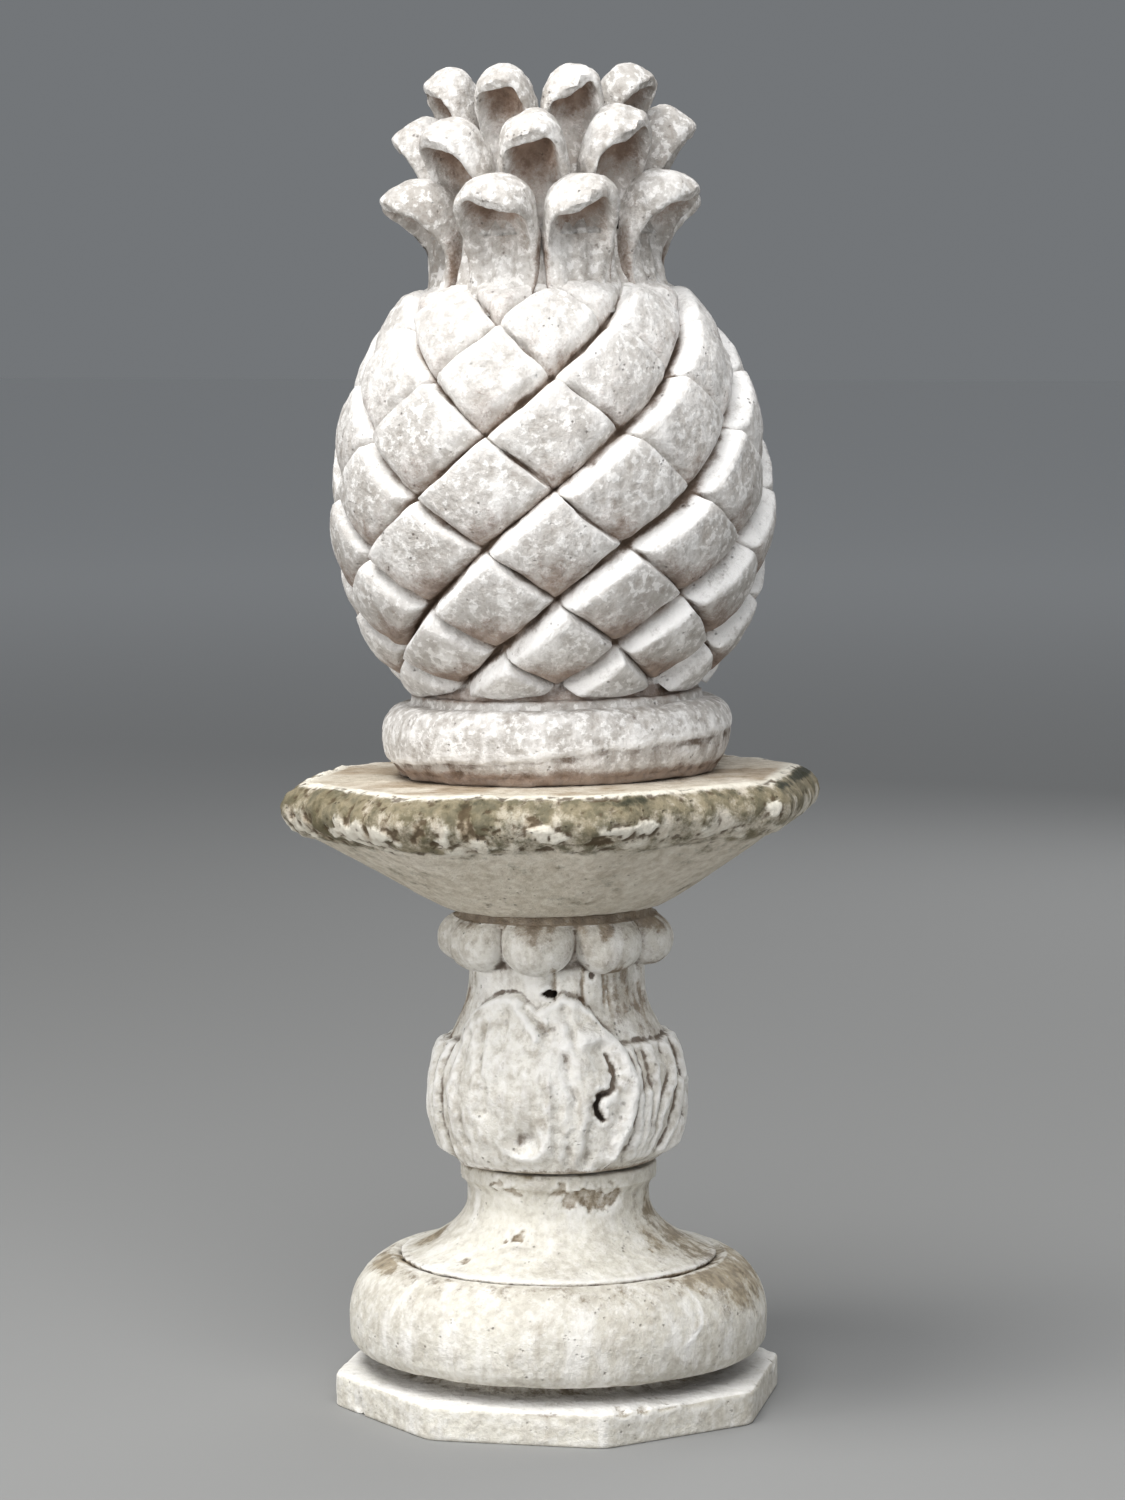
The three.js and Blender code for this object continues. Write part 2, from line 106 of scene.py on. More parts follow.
def pitNoise(points, size, seed):
    # distance to the nearest of scattered spots, one in each cell of that size, as a share of the size
    place = points / size
    corner = np.floor(place).astype(np.int64)
    nearest = np.full(points.shape[:-1], 9.0)
    for step in np.ndindex(3, 3, 3):
        cell = corner + np.array(step) - 1
        spot = cell + np.stack([cornerNumber(cell, seed + k) for k in range(3)], axis=-1)
        nearest = np.minimum(nearest, ((place - spot) ** 2).sum(axis=-1))
    return np.sqrt(nearest)


def softened(relief, passes):
    # Each value is averaged with its neighbours, round the seam and up to the ends, again and again. Rows two
    # apart are used, because the points of a lozenge grid are shifted in every other row.
    for _ in range(passes):
        relief = (np.roll(relief, 1, 1) + 2 * relief + np.roll(relief, -1, 1)) / 4
        padded = np.vstack([relief[:2], relief, relief[-2:]])
        relief = (padded[:-4] + 2 * padded[2:-2] + padded[4:]) / 4
    return relief


def curveAt(controls, share):
    # points of a Bezier curve at an array of shares: each control point weighted by its binomial share
    order = len(controls) - 1
    weights = [math.comb(order, k) * share ** k * (1 - share) ** (order - k) for k in range(order + 1)]
    return sum(weight[..., None] * np.array(control, float) for weight, control in zip(weights, controls))


def outlineFrom(start, *stretches):
    # curves one after the other, each given by its count of points and its further control points
    outline = [np.array([start], float)]
    for count, *controls in stretches:
        outline.append(curveAt([outline[-1][-1], *controls], np.linspace(0, 1, count))[1:])
    return np.vstack(outline)


def arc(middle, size, start, end, count):
    # points of an elliptical round, from one angle to another in degrees
    turn = np.radians(np.linspace(start, end, count))[:, None]
    return np.array(middle) + np.array(size) * np.hstack([np.cos(turn), np.sin(turn)])


def lineDistance(azimuth, height, radius, path):
    # distance on the surface from a carved line, which is a few places given by azimuth and height
    nearest = np.full(np.broadcast(azimuth, height).shape, 1e6)
    perDegree = radius * math.pi / 180
    for (startTurn, startHeight), (endTurn, endHeight) in zip(path, path[1:]):
        across = fromAzimuth(azimuth, startTurn) * perDegree
        up = height - startHeight
        stepAcross = (endTurn - startTurn) * perDegree
        stepUp = endHeight - startHeight
        along = (across * stepAcross + up * stepUp) / (stepAcross ** 2 + stepUp ** 2)
        along = np.clip(along, 0, 1)
        nearest = np.minimum(nearest, np.hypot(across - along * stepAcross, up - along * stepUp))
    return nearest


def octagonShare(azimuth, sharpness):
    # radius of an octagon with worn corners over half its width: a smooth maximum over its eight flats
    flats = [np.maximum(0, np.cos(np.radians(azimuth - 45 * k))) ** sharpness for k in range(8)]
    return sum(flats) ** (-1 / sharpness)


# Grids of points, and pieces made from them

def swept(radius, azimuth, height):
    # places at a radius and azimuth round the axis, at a height
    turn = np.radians(azimuth)
    return np.stack(np.broadcast_arrays(radius * np.sin(turn), -radius * np.cos(turn), height), axis=-1)


def gridNormals(points):
    # outward directions: the step round the rings crossed with the step from row to row
    around = np.roll(points, -1, 1) - np.roll(points, 1, 1)
    padded = np.concatenate([points[:1], points, points[-1:]])
    up = padded[2:] - padded[:-2]
    normal = np.cross(around, up)
    return normal / np.maximum(np.linalg.norm(normal, axis=-1, keepdims=True), 1e-9)


def bandFaces(firstRow, lastRow, columns):
    # four-cornered panels between rings of points
    row = np.arange(firstRow, lastRow)[:, None] * columns
    column = np.arange(columns)
    following = (column + 1) % columns
    corners = [row + column, row + following, row + columns + following, row + columns + column]
    return np.stack(corners, axis=-1).reshape(-1, 4)


def lozengeFaces(firstRow, lastRow, columns):
    # lozenge panels between rings whose points are shifted by half a step in every other ring
    column = np.arange(columns)
    faces = []
    for row in range(firstRow, lastRow - 1):
        shifted = (row - firstRow) % 2
        left = (column - 1 + shifted) % columns + (row + 1) * columns
        right = (column + shifted) % columns + (row + 1) * columns
        faces.append(np.stack([row * columns + column, right, (row + 2) * columns + column, left], axis=-1))
    following = (column + 1) % columns
    low, high = firstRow * columns, lastRow * columns
    lowest = np.stack([low + column, low + following, low + columns + column], axis=-1)
    highest = np.stack([high - columns + column, high + following, high + column], axis=-1)
    return [np.concatenate(faces), lowest, highest]


def capFaces(ring, middle, upwards):
    # a fan from a middle point to a ring of points
    following = np.roll(ring, -1)
    sides = (ring, following) if upwards else (following, ring)
    return np.stack([np.full(len(ring), middle), *sides], axis=-1)


def makePiece(name, patch, stand, material, node):
    # a mesh that stands for a CAD node, from points in millimetres, lists of faces and values for each point
    points, faces, marks = patch
    points = points @ stand[:3, :3].T + stand[:3, 3]
    corners = np.concatenate([group.ravel() for group in faces])
    sizes = np.concatenate([np.full(len(group), group.shape[1]) for group in faces])
    mesh = bpy.data.meshes.new(name)
    mesh.vertices.add(len(points))
    mesh.vertices.foreach_set("co", (points * metre).astype(np.float32).ravel())
    mesh.loops.add(len(corners))
    mesh.loops.foreach_set("vertex_index", corners.astype(np.int32))
    mesh.polygons.add(len(sizes))
    mesh.polygons.foreach_set("loop_start", (np.cumsum(sizes) - sizes).astype(np.int32))
    mesh.polygons.foreach_set("use_smooth", np.ones(len(sizes), bool))
    mesh.update(calc_edges=True)
    for mark, values in marks.items():
        attribute = mesh.attributes.new(mark, "FLOAT", "POINT")
        attribute.data.foreach_set("value", np.clip(values, 0, 1).astype(np.float32).ravel())
    mesh.materials.append(material)
    piece = bpy.data.objects.new(name, mesh)
    bpy.context.scene.collection.objects.link(piece)
    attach(piece, "root")
    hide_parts(node)
    print(name, "made:", len(points), "points,", int((sizes - 2).sum()), "triangles")


def closedGrid(points, marks, sides=None, pairedTop=False):
    # Points, faces and marks of rings of points, with square panels unless the faces of the sides are given.
    # A fan closes both ends, or the top is closed by a strip between the two sides of the last ring, which
    # lie close together.
    rows, columns = points.shape[:2]
    first = np.arange(columns)
    last = first + (rows - 1) * columns
    faces = [*(sides or [bandFaces(0, rows - 1, columns)]), capFaces(first, rows * columns, False)]
    if pairedTop:
        half = columns // 2
        k = np.arange(1, half - 1)
        faces.append(np.stack([last[k], last[k + 1], last[-k - 1], last[-k]], axis=-1))
        faces.append(last[np.array([[0, 1, -1], [half - 1, half, half + 1]])])
    else:
        faces.append(capFaces(last, rows * columns + 1, True))
    ends = [0] if pairedTop else [0, -1]

    def withEnds(values):
        # the values of all rings, and one for the middle of each end that a fan closes
        flat = values.reshape(rows * columns, *values.shape[2:])
        return np.concatenate([flat, [values[end].mean(axis=0) for end in ends]])

    return withEnds(points), faces, {mark: withEnds(values) for mark, values in marks.items()}


def weatherAndShadeMarks(relief, fine, broad, depth):
    # where dirt stays and painted shade darkens the hollows and crevices, and where edges are worn bare: the
    # relief against its own average, near and far
    near, far = softened(relief, fine), softened(relief, broad)
    return {
        "hollow": np.clip((far - relief) / depth, 0, 1),
        "crevice": np.clip((near - relief) / (0.12 * depth), 0, 1),
        "crest": np.clip((relief - near) / (0.1 * depth), 0, 1),
    }


def spotted(azimuth, height, radius, spots, ragged=0.0, soft=0.35):
    # 1 inside oval spots of a given azimuth, height, half width and half height, with ragged soft edges
    nearest = np.full(np.broadcast(azimuth, height).shape, 9.0)
    for turn, high, wide, tall in spots:
        across = fromAzimuth(azimuth, turn) * radius * math.pi / 180
        nearest = np.minimum(nearest, np.hypot(across / wide, (height - high) / tall))
    return fadeOut(nearest + ragged, 1 - 0.7 * soft, 1 + 0.3 * soft)


# How the castings stand on each other

stacking = {
    "bedGap": 0.3,  # clearance at the tight side of a bed joint
    "stemLean": 0.7,  # degrees towards -X
    "tableLean": 1.4,
    "pineappleShift": 5,  # off the table's middle, towards +X
    "stemHeight": 195.5,
    "tableHeight": 101,
    "footRingRadius": 75.5,
    "tableBedRadius": 83,
}


def standOn(below, height, seatRadius, lean, shift=0.0):
    # matrix of a casting on another: up by its height and the gap that the lean opens, then leaned to -X
    rise = height + stacking["bedGap"] + seatRadius * math.sin(math.radians(abs(lean)))
    cosine, sine = math.cos(math.radians(lean)), math.sin(math.radians(lean))
    own = np.array([[cosine, 0, -sine, shift], [0, 1, 0, 0], [sine, 0, cosine, rise], [0, 0, 0, 1]])
    return below @ own


footStand = np.eye(4)
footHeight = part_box("moulded_foot")[1].z / metre
stemStand = standOn(footStand, footHeight, stacking["footRingRadius"], stacking["stemLean"])
tableLeanOnStem = stacking["tableLean"] - stacking["stemLean"]
tableStand = standOn(stemStand, stacking["stemHeight"], stacking["tableBedRadius"], tableLeanOnStem)
pineappleStand = standOn(tableStand, stacking["tableHeight"], 0, 0, stacking["pineappleShift"])


# Shader maths: a wire is a socket that can be added, multiplied and so on

class Wire:
    def __init__(self, tree, socket):
        self.tree, self.socket = tree, socket

    def node(self, kind, settings, inputs, output=0):
        # a new node with its settings and inputs, as the wire from one of its outputs
        made = self.tree.nodes.new(kind)
        for name, value in settings.items():
            setattr(made, name, value)
        for name, value in inputs.items():
            if isinstance(value, Wire):
                self.tree.links.new(value.socket, made.inputs[name])
            else:
                made.inputs[name].default_value = value
        return Wire(self.tree, made.outputs[output] if made.outputs else None)

    def maths(self, operation, first, second):
        return self.node("ShaderNodeMath", {"operation": operation}, {0: first, 1: second})

    def __add__(self, other):
        return self.maths("ADD", self, other)

    def __sub__(self, other):
        return self.maths("SUBTRACT", self, other)

    def __rsub__(self, other):
        return self.maths("SUBTRACT", other, self)

    def __mul__(self, other):
        return self.maths("MULTIPLY", self, other)

    __radd__ = __add__

    def between(self, low, high):
        # 0 below low, 1 above high, smooth in between
        settings = {"interpolation_type": "SMOOTHSTEP", "clamp": True}
        return self.node("ShaderNodeMapRange", settings, {"Value": self, "From Min": low, "From Max": high})

    def tint(self, first, second):
        # the first colour where this is 0, the second where it is 1
        return self.node("ShaderNodeMix", {"data_type": "RGBA"}, {0: self, 6: first, 7: second}, 2)


def linear(red, green, blue):
    # a colour from its screen values of 0 to 255
    channels = [channel / 255 for channel in (red, green, blue)]
    return tuple(c / 12.92 if c <= 0.04045 else ((c + 0.055) / 1.055) ** 2.4 for c in channels) + (1.0,)


def castStone(name, look):
    # Weathered cast stone. A wash that is clouded, brushed and worn through to the stone, dirt and painted
    # shade where the surface is hollow, dark crevices of dirt and painted shade, pale crests that are worn
    # bare and in places a painted highlight, brown stains mixed with painted shade, near-black painted shade
    # in the deepest places, and pores and grain as bump.
    material = bpy.data.materials.new(name)
    material.use_nodes = True
    tree = material.node_tree
    tree.nodes.clear()
    start = Wire(tree, None)
    where = start.node("ShaderNodeTexCoord", {}, {}, "Object")
    stretched = start.node("ShaderNodeMapping", {}, {"Vector": where, "Scale": look["brushStretch"]})

    def noise(scale, detail, vector=where, roughness=0.55):
        inputs = {"Vector": vector, "Scale": scale, "Detail": detail, "Roughness": roughness}
        return start.node("ShaderNodeTexNoise", {"noise_dimensions": "3D"}, inputs, "Fac")

    def mark(attribute):
        return start.node("ShaderNodeAttribute", {"attribute_name": attribute}, {}, "Fac")

    cloud = noise(look["cloudScale"], 5.0)
    mottle = noise(48.0, 8.0, roughness=0.68)
    drips = noise(38.0, 6.0, stretched, 0.62)
    lumps = noise(95.0, 4.0, roughness=0.6)
    chisel = noise(150.0, 3.0, roughness=0.6)
    grain = noise(430.0, 5.0, roughness=0.75)
    pores = start.node("ShaderNodeTexVoronoi", {}, {"Vector": where, "Scale": 210.0}, "Distance")
    pits = (1 - pores.between(0.06, 0.3)) * noise(70.0, 3.0).between(0.54, 0.68)
    uneven = (mottle - 0.5) * 1.2 + (lumps - 0.5) * 0.7 + (grain - 0.5) * 0.9 + (chisel - 0.5) * 0.9
    worn = (mottle + grain * 0.5).between(0.42, 0.76)
    # dirt film and painted shade where the surface is hollow
    filmAndShade = (mark("hollow") + uneven * look["filmAndShadeBreak"]).between(look["filmAndShadeFrom"], look["filmAndShadeTo"])
    # brown stains, and on the fruit and the crown painted shade as well
    stainAndShade = (mark("stainAndShade") + uneven * look["stainAndShadeBreak"]).between(0.2, 0.85)
    # dark crevices of dirt and painted shade
    crevice = (mark("crevice") + uneven * 0.6).between(0.3, 1.0) * look["crevice"]
    # near-black painted shade in the deepest recesses, gaps and holes
    deep = (mark("deep") + uneven * 0.4).between(0.35, 0.85)
    stainAndShadeTone = (lumps * 0.35 + cloud * 0.25 + chisel * 0.3 + mottle * 0.3).between(0.52, 0.69)
    layers = [
        (mottle.between(0.47, 0.72) * look["mottle"], look["bareStone"]),
        (lumps.between(0.5, 0.62) * look["flecks"], look["bareStone"]),
        ((1 - chisel.between(0.36, 0.47)) * look["chips"], look["bareStone"]),
        (chisel.between(0.52, 0.6) * look["chips"], look["brightWashAndHighlight"]),
        (drips.between(0.5, 0.68) * look["drips"], look["brightWashAndHighlight"]),
        (grain.between(0.55, 0.75) * look["speckle"], look["bareStone"]),
        # pale crests, worn bare, and in places a painted highlight
        (mark("crest") * worn * look["crest"], look["brightWashAndHighlight"]),
        (filmAndShade * look["filmAndShade"], look["filmAndShadeColor"]),
        (stainAndShade * look["stainAndShade"], stainAndShadeTone.tint(look["stainAndShadeColor"], look["darkStainAndShade"])),
        (crevice, look["creviceColor"]),
        (pits * look["pits"], look["creviceColor"]),
        (deep, look["deepColor"]),
    ]
    color = cloud.between(0.32, 0.66).tint(look["wash"], look["greyWash"])
    for share, layer in layers:
        color = share.tint(color, layer)

    relief = lumps * 0.9 + mottle + chisel * look["chips"] + grain * 0.16 - pits * 0.8
    bumps = {"Strength": look["bump"], "Distance": 0.0035, "Height": relief}
    normal = start.node("ShaderNodeBump", {}, bumps)
    rough = 0.8 + grain * 0.12 + crevice * 0.08
    shader = start.node("ShaderNodeBsdfPrincipled", {}, {
        "Base Color": color, "Roughness": rough, "Normal": normal, "Specular IOR Level": 0.35, "IOR": 1.45})
    start.node("ShaderNodeOutputMaterial", {}, {"Surface": shader})
    return material


plainStone = {
    "brushStretch": (1.0, 1.0, 0.3),
    "cloudScale": 9.0,
    "wash": linear(218, 214, 207),
    "greyWash": linear(188, 183, 175),
    "bareStone": linear(160, 150, 136),
    "brightWashAndHighlight": linear(244, 242, 238),
    "filmAndShadeColor": linear(160, 143, 124),
    "stainAndShadeColor": linear(158, 130, 106),
    "darkStainAndShade": linear(112, 90, 68),
    "creviceColor": linear(84, 66, 50),
    "deepColor": linear(34, 26, 19),
    "mottle": 0.5,
    "drips": 0.55,
    "flecks": 0.28,
    "chips": 0.2,
    "speckle": 0.22,
    "crest": 0.85,
    "filmAndShade": 0.75,
    "filmAndShadeFrom": 0.3,
    "filmAndShadeTo": 1.05,
    "filmAndShadeBreak": 0.6,
    "stainAndShade": 0.8,
    "stainAndShadeBreak": 0.75,
    "crevice": 0.85,
    "pits": 0.45,
    "bump": 0.85,
}


# The pineapple: a round foot, a neck, the fruit with its scales, the core and the leaves of the crown

fruit = {
    "footBedRadius": 119,
    "footRadius": 134,
    "footWidestHeight": 32,
    "footUndercut": 0.3,
    "footShoulderRadius": 112,
    "footHeight": 56,
    "filletHeight": 7,
    "neckRadius": 104,
    "neckHeight": 8,
    "radius": 160.5,
    "lowerRise": 179,
    "upperRise": 202,
    "lowestAngle": -47.3,
    "scalesAround": 9,
    "rowAngle": 13,
    "rows": 8,
    "azimuth": 12,
    "relief": 18,
    "panels": 26,  # along the edge of a scale
    "crowding": 0.62,  # how much the panels crowd towards the grooves
    "bevel": 0.185,  # width of the widest bevels, as a share of a scale
    "wear": 0.013,  # how round the bevels' crests are
    "dome": 0.55,
    "tilt": 0.42,
    "grooveWidth": 0.024,
    "grooveDepth": 2.4,
    "wander": 0.05,  # how far the grooves stray from a true lattice, in scales
}
fruitNeckBottom = fruit["footHeight"] + fruit["filletHeight"]
fruitBottom = fruitNeckBottom + fruit["neckHeight"]
lowestAngle = math.radians(fruit["lowestAngle"])
fruitWidest = fruitBottom - fruit["lowerRise"] * math.sin(lowestAngle)
fruitTopAngle = lowestAngle + math.radians(fruit["rows"] * fruit["rowAngle"])
fruitTop = fruitWidest + fruit["upperRise"] * math.sin(fruitTopAngle)


def scaleNumber(right, left, seed):
    # one number from -1 to 1 for each scale, the same on both sides of the seam
    row = np.round(right + left).astype(np.int64)
    column = np.round(right - left).astype(np.int64) % (2 * fruit["scalesAround"])
    return 2 * cornerNumber(np.stack([row, column, row * 0], axis=-1), seed) - 1


def scaleRelief(towardsRight, towardsLeft, points, azimuth):
    # Height of the scales in millimetres, where dirt and painted shade lie in their grooves, and where their
    # bevels are, which are painted pale as a painted highlight. A scale is a lozenge that overlaps to one
    # side:
    # a straight bevel at its upper left edge, a narrower one at its upper right edge, and a face that leans
    # and rounds over towards the deep groove under its lower right edge. In the upper rows the edges are worn
    # rounder.
    cellRight, cellLeft = np.round(towardsRight), np.round(towardsLeft)
    right, left = towardsRight - cellRight, towardsLeft - cellLeft
    f = fruit
    chisel = roughNoise(points, 36, 2, 11)
    chances = [scaleNumber(cellRight, cellLeft, seed) for seed in (3, 5, 9, 21, 13)]
    wide, worn, leanRight, leanLeft, raised = chances
    leftward = fadeOut(np.sin(np.radians(azimuth - 5)), -0.75, 0.1)
    upperLeft = mixed(f["bevel"], 0.5 * f["bevel"], leftward) * (1 + 0.15 * wide + 0.15 * chisel)
    upperRight = mixed(0.26 * f["bevel"], 0.7 * f["bevel"], leftward) * (1 - 0.25 * wide + 0.22 * chisel)
    heights = [
        (0.5 - left) / upperLeft,
        0.12 + (0.5 - right) / upperRight,
        1.12 - 1.05 * (1 - np.clip((0.5 + left) / 0.22, 0, 1)) ** 2.4,
        1.1 - 0.7 * (1 - np.clip((0.5 + right) / 0.18, 0, 1)) ** 2.4,
    ]
    wear = f["wear"] * (1.1 + 0.5 * worn + 1.9 * fadeIn(points[..., 2] + 50 * leftward, 215, 310))
    closeness = sum(np.exp(-height / wear) for height in heights) + np.exp(-1 / wear)
    edge = -wear * np.log(closeness)
    dome = 1 - f["dome"] * (right ** 2 + left ** 2) + f["tilt"] * (left + 0.25 * right)
    lean = 0.12 * leanRight * right + 0.1 * leanLeft * left
    height = np.maximum(edge, -0.02) * (dome + lean) + 0.05 * raised
    ragged = roughNoise(points, 16, 2, 17)
    gapLeft, gapRight = 0.5 - np.abs(left), 0.5 - np.abs(right)
    under = bump(gapLeft, f["grooveWidth"] * (1.2 + 0.8 * ragged)) * fadeIn(ragged, -0.9, 0.5)
    beside = bump(gapRight, 0.6 * f["grooveWidth"] * (1 + 0.5 * ragged)) * fadeIn(ragged, -0.5, 0.7)
    pit = bump(np.hypot(gapRight, gapLeft), 0.06 * (1 + 0.6 * ragged))
    groove = np.clip(np.maximum(under, 0.8 * beside), 0, 1)
    relief = f["relief"] * (height - 0.55) - f["grooveDepth"] * groove - 3.2 * pit
    bevel = np.maximum(fadeOut(heights[0], 0.85, 1.1), 0.6 * fadeOut(heights[1], 0.7, 1.0))
    bevel = bevel * fadeIn(np.minimum(gapLeft, gapRight), 0.01, 0.035)
    return relief, np.clip(0.85 * groove + pit, 0, 1), bevel


def fruitGrid():
    # Lozenge grid: the rings are shifted by half a panel in turn, so that panel edges run along the grooves.
    panels = fruit["panels"]
    row = np.arange(fruit["rows"] * panels + 1)[:, None]
    column = np.arange(fruit["scalesAround"] * panels)[None, :]
    total = (row + panels) / panels + 0 * column
    apart = (2 * column + row % 2) / panels
    crowding = fruit["crowding"] / (2 * math.pi)

    def crowded(place):
        return place + crowding * np.sin(2 * math.pi * place)

    right, left = crowded((total + apart) / 2), crowded((total - apart) / 2)
    up, across = (right + left - 1) / 2, (right - left) / 2
    azimuth = fruit["azimuth"] + across * 360 / fruit["scalesAround"]
    angle = lowestAngle + np.radians(up * 2 * fruit["rowAngle"])
    rise = np.where(angle < 0, fruit["lowerRise"], fruit["upperRise"])
    base = swept(fruit["radius"] * np.cos(angle), azimuth, fruitWidest + rise * np.sin(angle))
    inside = fadeIn(up, 0.0, 0.4) * fadeIn(4 - up, 0.0, 0.4)
    stray = fruit["wander"] * inside
    strayRight = right + stray * 2 * roughNoise(base, 95, 2, 23)
    strayLeft = left + stray * 2 * roughNoise(base, 95, 2, 29)
    relief, groove, bevel = scaleRelief(strayRight, strayLeft, base, azimuth)
    relief = mixed(-2, relief, 0.2 + 0.8 * fadeIn(4 - up, 0, 0.3))
    radius = (fruit["radius"] + relief) * np.cos(angle)
    height = fruitWidest + (rise + relief) * np.sin(angle)
    lowness = np.clip((strayRight - np.round(strayRight) + strayLeft - np.round(strayLeft)) * -1, -1, 1)
    return swept(radius, azimuth, height), relief, groove, bevel, lowness


def fruitFootOutline():
    # from the edge of the bed up to the fruit: a plump round, a fillet and a neck
    f = fruit
    bed, widest, low = f["footBedRadius"], f["footRadius"], f["footWidestHeight"]
    high, shoulder, neck = f["footHeight"], f["footShoulderRadius"], f["neckRadius"]
    fillet = shoulder - 1.5
    return outlineFrom(
        (0, 0),
        (3, (bed - 6, 0)),
        (4, (bed, 0), (bed + 2, 2)),
        (14, (widest, low * f["footUndercut"] + 3), (widest, low)),
        (18, (widest, high), (shoulder, high)),
        (6, (fillet, high + 1), (fillet, fruitNeckBottom - 1)),
        (4, (neck, fruitNeckBottom)),
        (5, (neck - 1, fruitBottom - 1)),
    )


crown = {
    "height": 158,  # from the top of the fruit to the crest of the highest leaves
    "spread": 127,  # radius at the tips of the lowest leaves
    "coreRadius": 68,
    "coreTopRadius": 44,
    "coreShare": 0.81,
    "coreShoulder": 0.85,
    "leaves": 8,
    "columns": 36,  # round a leaf
    "rows": 36,  # along a leaf
    "tip": 0.14,  # share of its length over which the tip rounds over
    "tongue": 0.3,  # the same for its round outline seen from above
    "splay": 22,  # how far the root runs out over the fruit
    # Heights of the root, the lip under the tip and the crest, the radius, the width and how far the root
    # stands out from the core, as shares. Some leaves are turned by some degrees, raised by some millimetres,
    # and slanted so that their lip rises to the right.
    "tiers": [
        {"azimuth": -13.8, "root": -0.07, "lip": 0.355, "crest": 0.525,
         "reach": 1.0, "width": 0.45, "stand": 0.11,
         "moved": {0: (0, 0, -0.8), 1: (-5, 0, 1.1), 2: (0, 5, 0.4), 7: (0, 0, -0.2)}},
        {"azimuth": 9, "root": -0.05, "lip": 0.665, "crest": 0.81, "reach": 0.9, "width": 0.4, "stand": 0.05,
         "moved": {0: (0, -4, 0.5), 1: (-5, 0, 0.9), 2: (-4, 2, 0.2), 6: (0, -4, 0.3), 7: (0, -5, -0.4)}},
        {"azimuth": 31, "root": 0.3, "lip": 0.9, "crest": 1.02, "reach": 0.735, "width": 0.355, "stand": 0.07,
         "moved": {0: (-5, 0, 1.0), 1: (-5, 2, 0.4), 6: (0, -3, -0.4), 7: (0, 0, 0.3)}},
    ],
}


def coreRadiusAt(height):
    share = np.clip(height / (crown["height"] * crown["coreShare"] * crown["coreShoulder"]), 0, 1)
    return mixed(crown["coreRadius"], crown["coreTopRadius"], share)


def roundedEnd(along, share, least):
    # 1 along a leaf, and a quarter circle down to nearly nothing over that last share of it
    return np.sqrt(np.clip(1 - ((along - 1 + share) / share).clip(0, 1) ** 2, least, 1))


